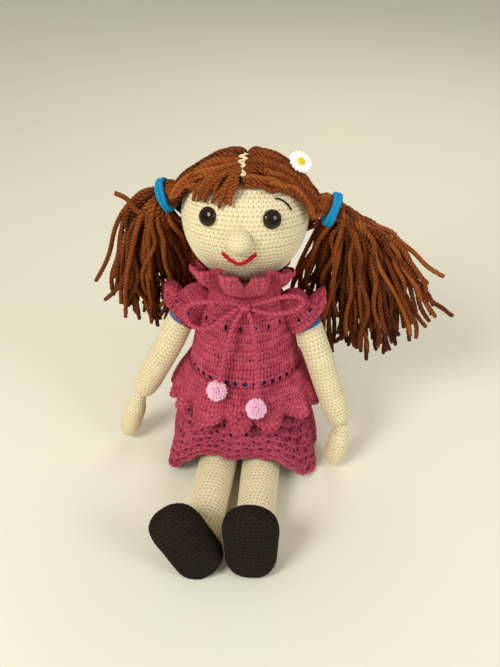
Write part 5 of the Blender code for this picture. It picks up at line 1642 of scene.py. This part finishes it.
@dataclass
class Dress:
    """The dress: bodice, peplum, skirt, collar and sleeves."""

    ease: float = 0.0014
    cloth: float = 0.0022
    waist: float = 0.082
    neckline: float = 0.1640
    armhole_drop: float = 0.0070
    sleeve_leans: dict = by_side(
        ((-142, 4), (-90, 10), (-45, 34), (-8, 88), (8, 88), (40, 34), (85, 18), (142, 6)),
        ((-142, 4), (-90, 10), (-45, 34), (-8, 88), (8, 82), (30, 36), (60, 52), (90, 44), (142, 8)))
    bodice_cloth: Fabric = Fabric(
        Stitch.DOUBLE, stitch_mm=2.7, row_mm=6.7, relief_mm=0.9, cell_mm=0.68, thickness_mm=1.1,
        loose=1.3, eyelets=Eyelets({1: 2.6, 7: 5.0}, half_width=0.72, half_height=0.30, level=0.40))
    peplum_cloth: Fabric = Fabric(
        Stitch.DOUBLE, stitch_mm=2.7, row_mm=6.2, relief_mm=0.85, cell_mm=0.66, thickness_mm=1.4, loose=1.3)
    skirt_cloth: Fabric = Fabric(
        Stitch.SHELL, stitch_mm=12.0, row_mm=9.5, relief_mm=1.1, cell_mm=0.86, thickness_mm=1.2, loose=1.6,
        eyelets=Eyelets({-1: 1.0}, half_width=0.13, half_height=0.16, level=0.12, stagger=0.5))
    collar_cloth: Fabric = Fabric(
        Stitch.DOUBLE, stitch_mm=2.9, row_mm=5.6, relief_mm=0.55, cell_mm=0.62, thickness_mm=1.6)
    sleeve_cloth: Fabric = Fabric(
        Stitch.DOUBLE, stitch_mm=2.9, row_mm=6.2, relief_mm=0.70, cell_mm=0.62, thickness_mm=1.5,
        eyelets=Eyelets({4: 3.6}, half_width=0.62, half_height=0.26, level=0.45))

    def build(self) -> None:
        """Make the dress."""
        self.make_bodice()
        self.make_peplum()
        self.make_skirt()
        self.make_collar()
        for side, name in SIDE_NAMES.items():
            self.make_sleeve(side, name)

    def work(self, name: str, fabric: Fabric, place: Place, size: tuple[float, float], node: str,
             finish: YarnFinish = ROSE_YARN, body: str = "torso",
             inside: Optional[Sequence] = None) -> Piece:
        """Args:
            name: The piece's name.
            fabric: How it is worked.
            place: Points at shares round and along the surface.
            size: Distance round and along the surface.
            node: The solid that it replaces.
            finish: What it is made of.
            body: The body that carries it, or nothing for a piece that is left without one.
            inside: A point on the inner side of a piece whose side edges don't meet.

        Returns:
            The object.
        """
        piece, area = fabric.lay(name, place, *size, closed=inside is None, inside=inside)
        press_on_table(piece)
        dress_up(piece, finish, body, "rose_yarn", node)
        return piece

    def make_bodice(self) -> None:
        """The fitted top in tall rows, with two rows of eyelets and gathers under the cord."""
        lift = self.ease + self.cloth

        def place(u: Grid, v: Grid) -> Grid:
            """Points from the waist up to the neckline, which drops at the armholes."""
            angle = FULL_TURN * u
            top = self.neckline - self.armhole_drop * np.abs(np.cos(angle)) ** 16
            height = self.waist + (top - self.waist) * v
            gathers = 0.0010 * np.cos(26 * angle + 2 * np.sin(3 * angle)) * v**3
            return BODY.around(angle, height, lift + gathers)

        self.work("bodice_crochet", self.bodice_cloth, place, (0.262, 0.0735), "dress_bodice")

    def make_peplum(self) -> None:
        """The deep ruffle round the hips."""
        lift = self.ease + self.cloth + 0.0007
        seam, hem, front_drop, reach = 0.0895, 0.0585, 0.0085, 0.0575
        folds, fold_depth = 15, 0.0058

        def place(u: Grid, v: Grid) -> Grid:
            """Points from the seam out and down to the wavy hem."""
            angle = FULL_TURN * u
            size = BODY.at(np.array(seam))
            out = np.sin(v * math.pi / 2)
            beat = folds * (angle + math.pi / 2) + 1.4 * np.sin(2 * angle) + 0.8 * np.sin(5 * angle + 1)
            fold = np.cos(beat) * v**1.7
            turn = angle + 0.046 * np.sin(beat) * v
            x = (size[0] + lift) * (1 - out) + reach * out + fold_depth * fold
            y = (size[1] + lift) * (1 - out) + reach * out + fold_depth * fold
            centre = size[2] * (1 - v) + 0.002 * v
            level = hem + front_drop * np.maximum(0.0, -np.sin(turn))
            height = seam + (level - seam) * v**1.2 - 0.0014 * fold
            return np.stack([x * np.cos(turn), centre + y * np.sin(turn), height], -1)

        self.work("peplum_crochet", self.peplum_cloth, place, (0.37, 0.047), "peplum")

    def hem_height(self, angle: Grid) -> Grid:
        """The hem's height: on the table at the sides and back, raised over the legs."""
        smooth = ease(np.clip((math.radians(58) - from_front(angle)) / math.radians(34), 0, 1))
        rest, raised = self.cloth / 2, 0.0325
        wave = 0.0012 * np.cos(12 * (angle + math.pi / 2)) * smooth
        return rest + (raised - rest) * smooth + wave

    def make_skirt(self) -> None:
        """The lace skirt, spread round the seat and draped over both legs."""
        lift = self.ease + self.cloth / 2
        top = self.waist - self.cloth / 2 - 0.0003
        reach_across, reach_forth, fold_depth = 0.0590, 0.0585, 0.0022

        def place(u: Grid, v: Grid) -> Grid:
            """Points from the waist out and down to the scalloped hem, with a corner by each leg."""
            angle = FULL_TURN * u
            size = BODY.at(np.array(self.waist))
            corner = bell(from_front(angle) - math.radians(50), math.radians(20))
            out = np.sin(v * math.pi / 2) ** 1.4 * (1 + 0.76 * corner * v)
            fold = np.cos(12 * (angle + math.pi / 2) + 0.8 * np.sin(3 * angle)) * v
            scallop = 0.0018 * np.abs(np.sin(13 * angle)) * np.clip((v - 0.85) / 0.15, 0, 1)
            x = (size[0] + lift) * (1 - out) + reach_across * out + fold_depth * fold
            y = (size[1] + lift) * (1 - out) + reach_forth * out + fold_depth * fold
            centre = size[2] * (1 - v) + 0.002 * v
            height = top + (self.hem_height(angle) - top) * v + scallop
            return np.stack([x * np.cos(angle), centre + y * np.sin(angle), height], -1)

        # The lace's deeper yarn is painted shade.
        self.work("skirt_lace", self.skirt_cloth, place, (0.366, 0.090), "skirt",
                  LACE_YARN_PAINTED_SHADE)

    def make_collar(self) -> None:
        """The frill above the cord, whose folds stand up to the chin and lie down in turn."""
        base, gap, opening = 0.1592, math.radians(0.3), math.radians(-83)
        folds, rim_height, front_rise, edge_drop, gap_to_head = 11, 0.1745, 0.0235, 0.0125, 0.0016

        def place(u: Grid, v: Grid) -> Grid:
            """Points from the neckline up to the waved rim, outside the head."""
            angle = opening + gap + (FULL_TURN - 2 * gap) * u
            foot = BODY.around(angle, base + 0 * angle, self.ease + self.cloth + 0.0 * v)
            front = np.maximum(0.0, -np.sin(angle))
            edge = ease(np.clip(np.minimum(u, 1 - u) / 0.036, 0, 1))
            high = rim_height + front_rise * front**0.8 - edge_drop * (1 - edge)
            rim = np.stack([0.0300 * np.cos(angle), -0.003 + 0.0350 * np.sin(angle), high], -1)
            beat = folds * (angle - opening)
            flare = (0.5 - 0.5 * np.cos(beat)) * np.sin(1.9 * v) ** 1.3
            swing = np.sin(2 * beat) * 0.0012 * v**1.5 * edge
            out = np.stack([np.cos(angle), np.sin(angle), 0 * angle], -1)
            side = np.stack([-np.sin(angle), np.cos(angle), 0 * angle], -1)
            stand = 0.0025 * np.sin(math.pi * v) + flare * (0.0062 + 0.0068 * front)
            points = foot + (rim - foot) * v[..., None] + out * stand[..., None]
            points = points + side * swing[..., None] + np.array([0, 0, 0.0022]) * flare[..., None]
            return HEAD.keep_out(points, gap_to_head)

        self.work("collar_frill", self.collar_cloth, place, (0.34, 0.0300), "collar_ruffle",
                  inside=(0, 0.01, 0.20))

    def make_sleeve(self, side: int, name: str) -> None:
        """A short frill round the armhole whose outer edge stands off the shoulder."""
        limbs = Limbs()
        ball = np.array(limbs.shoulders[side])
        axis = unit(np.array(limbs.arm_bends[side][0]) - ball)
        outward = np.array([side, 0.0, 0.0])
        wide = unit(outward - axis * (outward @ axis))
        deep = np.cross(axis, wide) * side
        inner = limbs.shoulder_radius + 0.0006 + self.cloth
        top, spread = math.radians(76), math.radians(142)
        smooth = smooth_rows(self.sleeve_leans[side], 200)
        turns, leans = np.radians(smooth[:, 0]), np.radians(smooth[:, 1])

        def place(u: Grid, v: Grid) -> Grid:
            """Points over the ball of the shoulder, then along the frill that leans outwards."""
            angle = spread * (2 * u - 1)
            length = 0.0150 + 0.0028 * np.sin(np.abs(angle) * 0.9) ** 2 * np.where(angle > 0, 1.0, 0.5)
            dome = inner * top
            path = v * (dome + length)
            turn = top * (1 - np.minimum(path / dome, 1.0))
            far = np.maximum(path - dome, 0.0)
            share = far / length
            lean = np.interp(angle, turns, leans) + 0.07 * np.sin(6 * angle + side) * share
            lean = lean * np.clip(share * 3, 0, 1)
            distance = np.where(path < dome, -inner * np.sin(turn), far * np.cos(lean))
            radius = inner * np.cos(turn) + far * np.sin(lean)
            rim = wide * np.cos(angle)[..., None] + deep * np.sin(angle)[..., None]
            return ball + axis * distance[..., None] + rim * radius[..., None]

        sleeve = self.work(f"sleeve_frill_{name}", self.sleeve_cloth, place, (0.070, 0.036),
                           f"sleeve_{name}", body="", inside=ball)
        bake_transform(sleeve)


@dataclass
class Drawstring:
    """The cord round the neckline, its knot, bow loops, hanging ends and pom-poms."""

    level: float = 0.1578
    shift: float = 0.0055
    radius: float = 0.00165
    pompom_radius: float = 0.0078
    knot_depth: float = -0.0262
    knot_cord: Yarn = Yarn(radius_mm=1.6, plies=2, pitch_mm=8.0, relief=0.08, sides=12)
    tuft: Yarn = Yarn(radius_mm=0.50, plies=2, pitch_mm=30.0, relief=0.0, sides=5)
    loops: dict = by_side(
        ((0.0024, -0.0262, 0.0036), (0.0110, -0.0300, 0.0090), (0.0240, -0.0350, 0.0175),
         (0.0345, -0.0340, 0.0180), (0.0390, -0.0325, 0.0130), (0.0350, -0.0330, 0.0070),
         (0.0240, -0.0330, 0.0025), (0.0120, -0.0300, 0.0000), (0.0024, -0.0262, 0.0000)),
        ((-0.0074, -0.0262, 0.0036), (-0.0170, -0.0305, 0.0080), (-0.0290, -0.0355, 0.0105),
         (-0.0400, -0.0345, 0.0070), (-0.0450, -0.0325, -0.0030), (-0.0405, -0.0335, -0.0125),
         (-0.0300, -0.0350, -0.0135), (-0.0180, -0.0320, -0.0060), (-0.0074, -0.0262, 0.0000)))
    ends: dict = by_side(
        ((-0.0004, -0.0262, -0.0021), (0.0040, -0.0300, -0.0100), (0.0075, -0.0345, -0.0230),
         (0.0100, -0.0385, -0.0400), (0.0120, -0.0440, -0.0570), (0.0135, -0.0500, -0.0643)),
        ((-0.0046, -0.0262, -0.0021), (-0.0080, -0.0300, -0.0100), (-0.0108, -0.0345, -0.0230),
         (-0.0134, -0.0385, -0.0410), (-0.0152, -0.0425, -0.0568)))

    def build(self) -> None:
        """Make the cord and what hangs on it."""
        self.make_ring()
        self.make_knot()
        for side, name in SIDE_NAMES.items():
            self.make_loop(side, name)
            self.make_end(side, name)

    def cord(self, name: str, route: Grid, points: int, closed: bool = False) -> tuple:
        """A cord of two twisted plies along a smooth route, with the points it follows.

        Args:
            name: The piece's name.
            route: Points that the cord goes through.
            points: How many points it follows.
            closed: True where the cord is a ring.

        Returns:
            The object and the points.
        """
        path = smooth_rows(route, points)
        yarn = Yarn(self.radius / MM, 2, 8.0, 0.08, 12)
        return yarn.spin(name, path[None], closed=closed), path

    def make_ring(self) -> None:
        """The cord threaded through the neckline."""
        angle = np.linspace(0, FULL_TURN, 25)
        height = self.level + 0.0015 * np.cos(angle) ** 2
        lift = Dress.ease + Dress.cloth + 0.0006 + self.radius
        ring = BODY.around(angle, height, lift + 0 * angle)
        made, _ = self.cord("neck_cord", ring, 260, closed=True)
        dress_up(made, CORD_YARN, "torso", "rose_yarn", "neck_drawstring")

    def make_knot(self) -> None:
        """The knot: three short wraps of the cord over each other."""
        middle = np.array([self.shift - 0.0025, self.knot_depth - 0.0010, self.level + 0.0018])
        paths = []
        for tilt, size, shift in ((12, 1.0, 0.0), (-28, 0.92, 0.0006), (80, 0.80, -0.0004)):
            a = np.linspace(0, FULL_TURN, 49)
            ring = np.stack([0.0031 * size * np.cos(a), 0.0020 * np.sin(a), 0 * a], -1)
            turn = np.array(Matrix.Rotation(math.radians(tilt), 3, "Y"))
            paths.append(middle + ring @ turn.T + np.array([shift, 0, shift]))
        knot = self.knot_cord.spin("bow_knot_cord", np.array(paths), closed=True)
        dress_up(knot, CORD_YARN, "torso", "rose_yarn", "bow_knot")

    def make_loop(self, side: int, name: str) -> None:
        """One loop of the bow."""
        route = np.array(self.loops[side]) + np.array([self.shift, 0, self.level])
        loop, path = self.cord(f"bow_loop_cord_{name}", route, 110)
        dress_up(loop, CORD_YARN, "torso", "rose_yarn", f"bow_loop_{name}")

    def make_end(self, side: int, name: str) -> None:
        """One hanging end with its pom-pom."""
        route = np.array(self.ends[side]) + np.array([0, 0, self.level])
        route[:, 0] += self.shift * np.linspace(1, 0, len(route))
        end, path = self.cord(f"cord_end_yarn_{name}", route, 90)
        dress_up(end, CORD_YARN, "torso", "rose_yarn", f"cord_end_{name}")
        heading = unit(route[-1] - route[-2])
        pompom = self.make_pompom(route[-1] + heading * (self.pompom_radius + 0.0003), side, name)

    def make_pompom(self, centre: Grid, side: int, name: str) -> Piece:
        """A ball of short tufts cut to one length.

        Args:
            centre: The ball's middle.
            side: The side of the cord's end.
            name: That side's name.

        Returns:
            The object.
        """
        chance = noise(70 + side)
        number, points = 900, 5
        z = np.linspace(-0.995, 0.995, number)
        turn = golden_turns(number)
        ways = np.stack([np.sqrt(1 - z * z) * np.cos(turn), np.sqrt(1 - z * z) * np.sin(turn), z], -1)
        ways = unit(ways + chance.normal(0, 0.06, ways.shape))
        far = self.pompom_radius * (0.97 + chance.normal(0, 0.035, number))
        share = np.linspace(0.30, 1, points)
        bend = chance.normal(0, 0.10, (number, 3))
        paths = ways[:, None] * (far[:, None] * share)[..., None]
        paths = paths + bend[:, None] * (self.pompom_radius * (share - 0.3) ** 2)[None, :, None]
        taper = np.array([0.5, 0.9, 1.0, 1.0, 0.45])
        tones = chance.normal(0.05, 0.14, number)
        ball = self.tuft.spin(f"pompom_tufts_{name}", centre + paths, taper, tones)
        # Tufts are paler towards the outside of the ball: painted shade deep inside it.
        away = np.linalg.norm(read_points(ball.data) - centre, axis=1) / self.pompom_radius
        rise = np.clip((away - 0.45) / 0.5, 0, 1).astype(np.float32)
        ball.data.attributes["rise"].data.foreach_set("value", rise)
        return dress_up(ball, POMPOM_YARN, "torso", "pink_fluff", f"pompom_{name}")


@dataclass
class Studio:
    """The floor, the lamps and the camera at the photograph's angle."""

    place: tuple[float, float, float] = (0.0444, -0.4328, 0.4500)
    azimuth: float = math.radians(5.3)
    pitch: float = math.radians(37.6)
    focal_px: float = 700.0
    photo_height_px: float = 667.0
    sensor_mm: float = 36.0

    def build(self) -> None:
        """Make the stage."""
        self.make_camera()
        self.make_floor()
        self.make_lamps()
        self.make_world()

    def make_camera(self) -> None:
        """A camera with the photograph's place, direction and lens."""
        data = bpy.data.cameras.new("camera")
        data.lens = self.focal_px / self.photo_height_px * self.sensor_mm
        data.sensor_width = self.sensor_mm
        data.clip_start = 0.01
        camera = bpy.data.objects.new("camera", data)
        bpy.context.scene.collection.objects.link(camera)
        camera.location = self.place
        camera.rotation_euler = (math.pi / 2 - self.pitch, 0.0, self.azimuth)
        bpy.context.scene.camera = camera

    def make_floor(self) -> None:
        """A plain pale table top."""
        top = bmesh.new()
        bmesh.ops.create_grid(top, x_segments=1, y_segments=1, size=3.0)
        top.transform(Matrix.Translation((0, 0, -0.0004)))
        mesh = bpy.data.meshes.new("table_top")
        top.to_mesh(mesh)
        top.free()
        made, tree, shader, place = start_material("pale_lacquered_board")
        colour = colour_ramp(tree, cloud(tree, place, 250.0, 2.0), ((0.0, "e9e8da"), (1.0, "eeedde")))
        feed(tree, shader, {"Base Color": colour, "Roughness": 0.6})
        floor = link("table_top", mesh)
        floor.data.materials.append(made)

    def make_lamps(self) -> None:
        """A large soft key from the front left and a weak fill from the right."""
        for name, spot, size, power, colour in (
            ("key_lamp", (-0.55, -0.75, 0.95), 0.5, 9.5, "fdfbf2"),
            ("fill_lamp", (0.85, -0.45, 0.65), 0.42, 3.2, "f4f4ff"),
            ("back_lamp", (0.2, 0.9, 0.9), 0.8, 3.0, "fdf6e4"),
        ):
            data = bpy.data.lights.new(name, "AREA")
            data.shape, data.size, data.energy = "DISK", size, power
            data.color = linear(colour)[:3]
            lamp = bpy.data.objects.new(name, data)
            bpy.context.scene.collection.objects.link(lamp)
            lamp.location = spot
            aim = Vector((0, 0, 0.12)) - Vector(spot)
            lamp.rotation_mode = "QUATERNION"
            lamp.rotation_quaternion = aim.to_track_quat("-Z", "Y")

    def make_world(self) -> None:
        """A pale sky that also shows behind the table."""
        world = bpy.data.worlds.new("studio")
        world.use_nodes = True
        tree = world.node_tree
        shade = tree.nodes["Background"]
        shade.inputs["Color"].default_value = linear("f2ecdc")
        shade.inputs["Strength"].default_value = 0.55
        bpy.context.scene.world = world
        bpy.context.scene.view_settings.view_transform = "Standard"


def main() -> None:
    """Build the stage and every sub-assembly."""
    logging.basicConfig(level=logging.INFO, format="%(name)s: %(message)s")
    for assembly in (Studio(), Drawstring(), Dress(), Limbs(), Head(), Hair()):
        LOG.info("building %s", type(assembly).__name__)
        assembly.build()


if __name__ == "__main__":
    main()
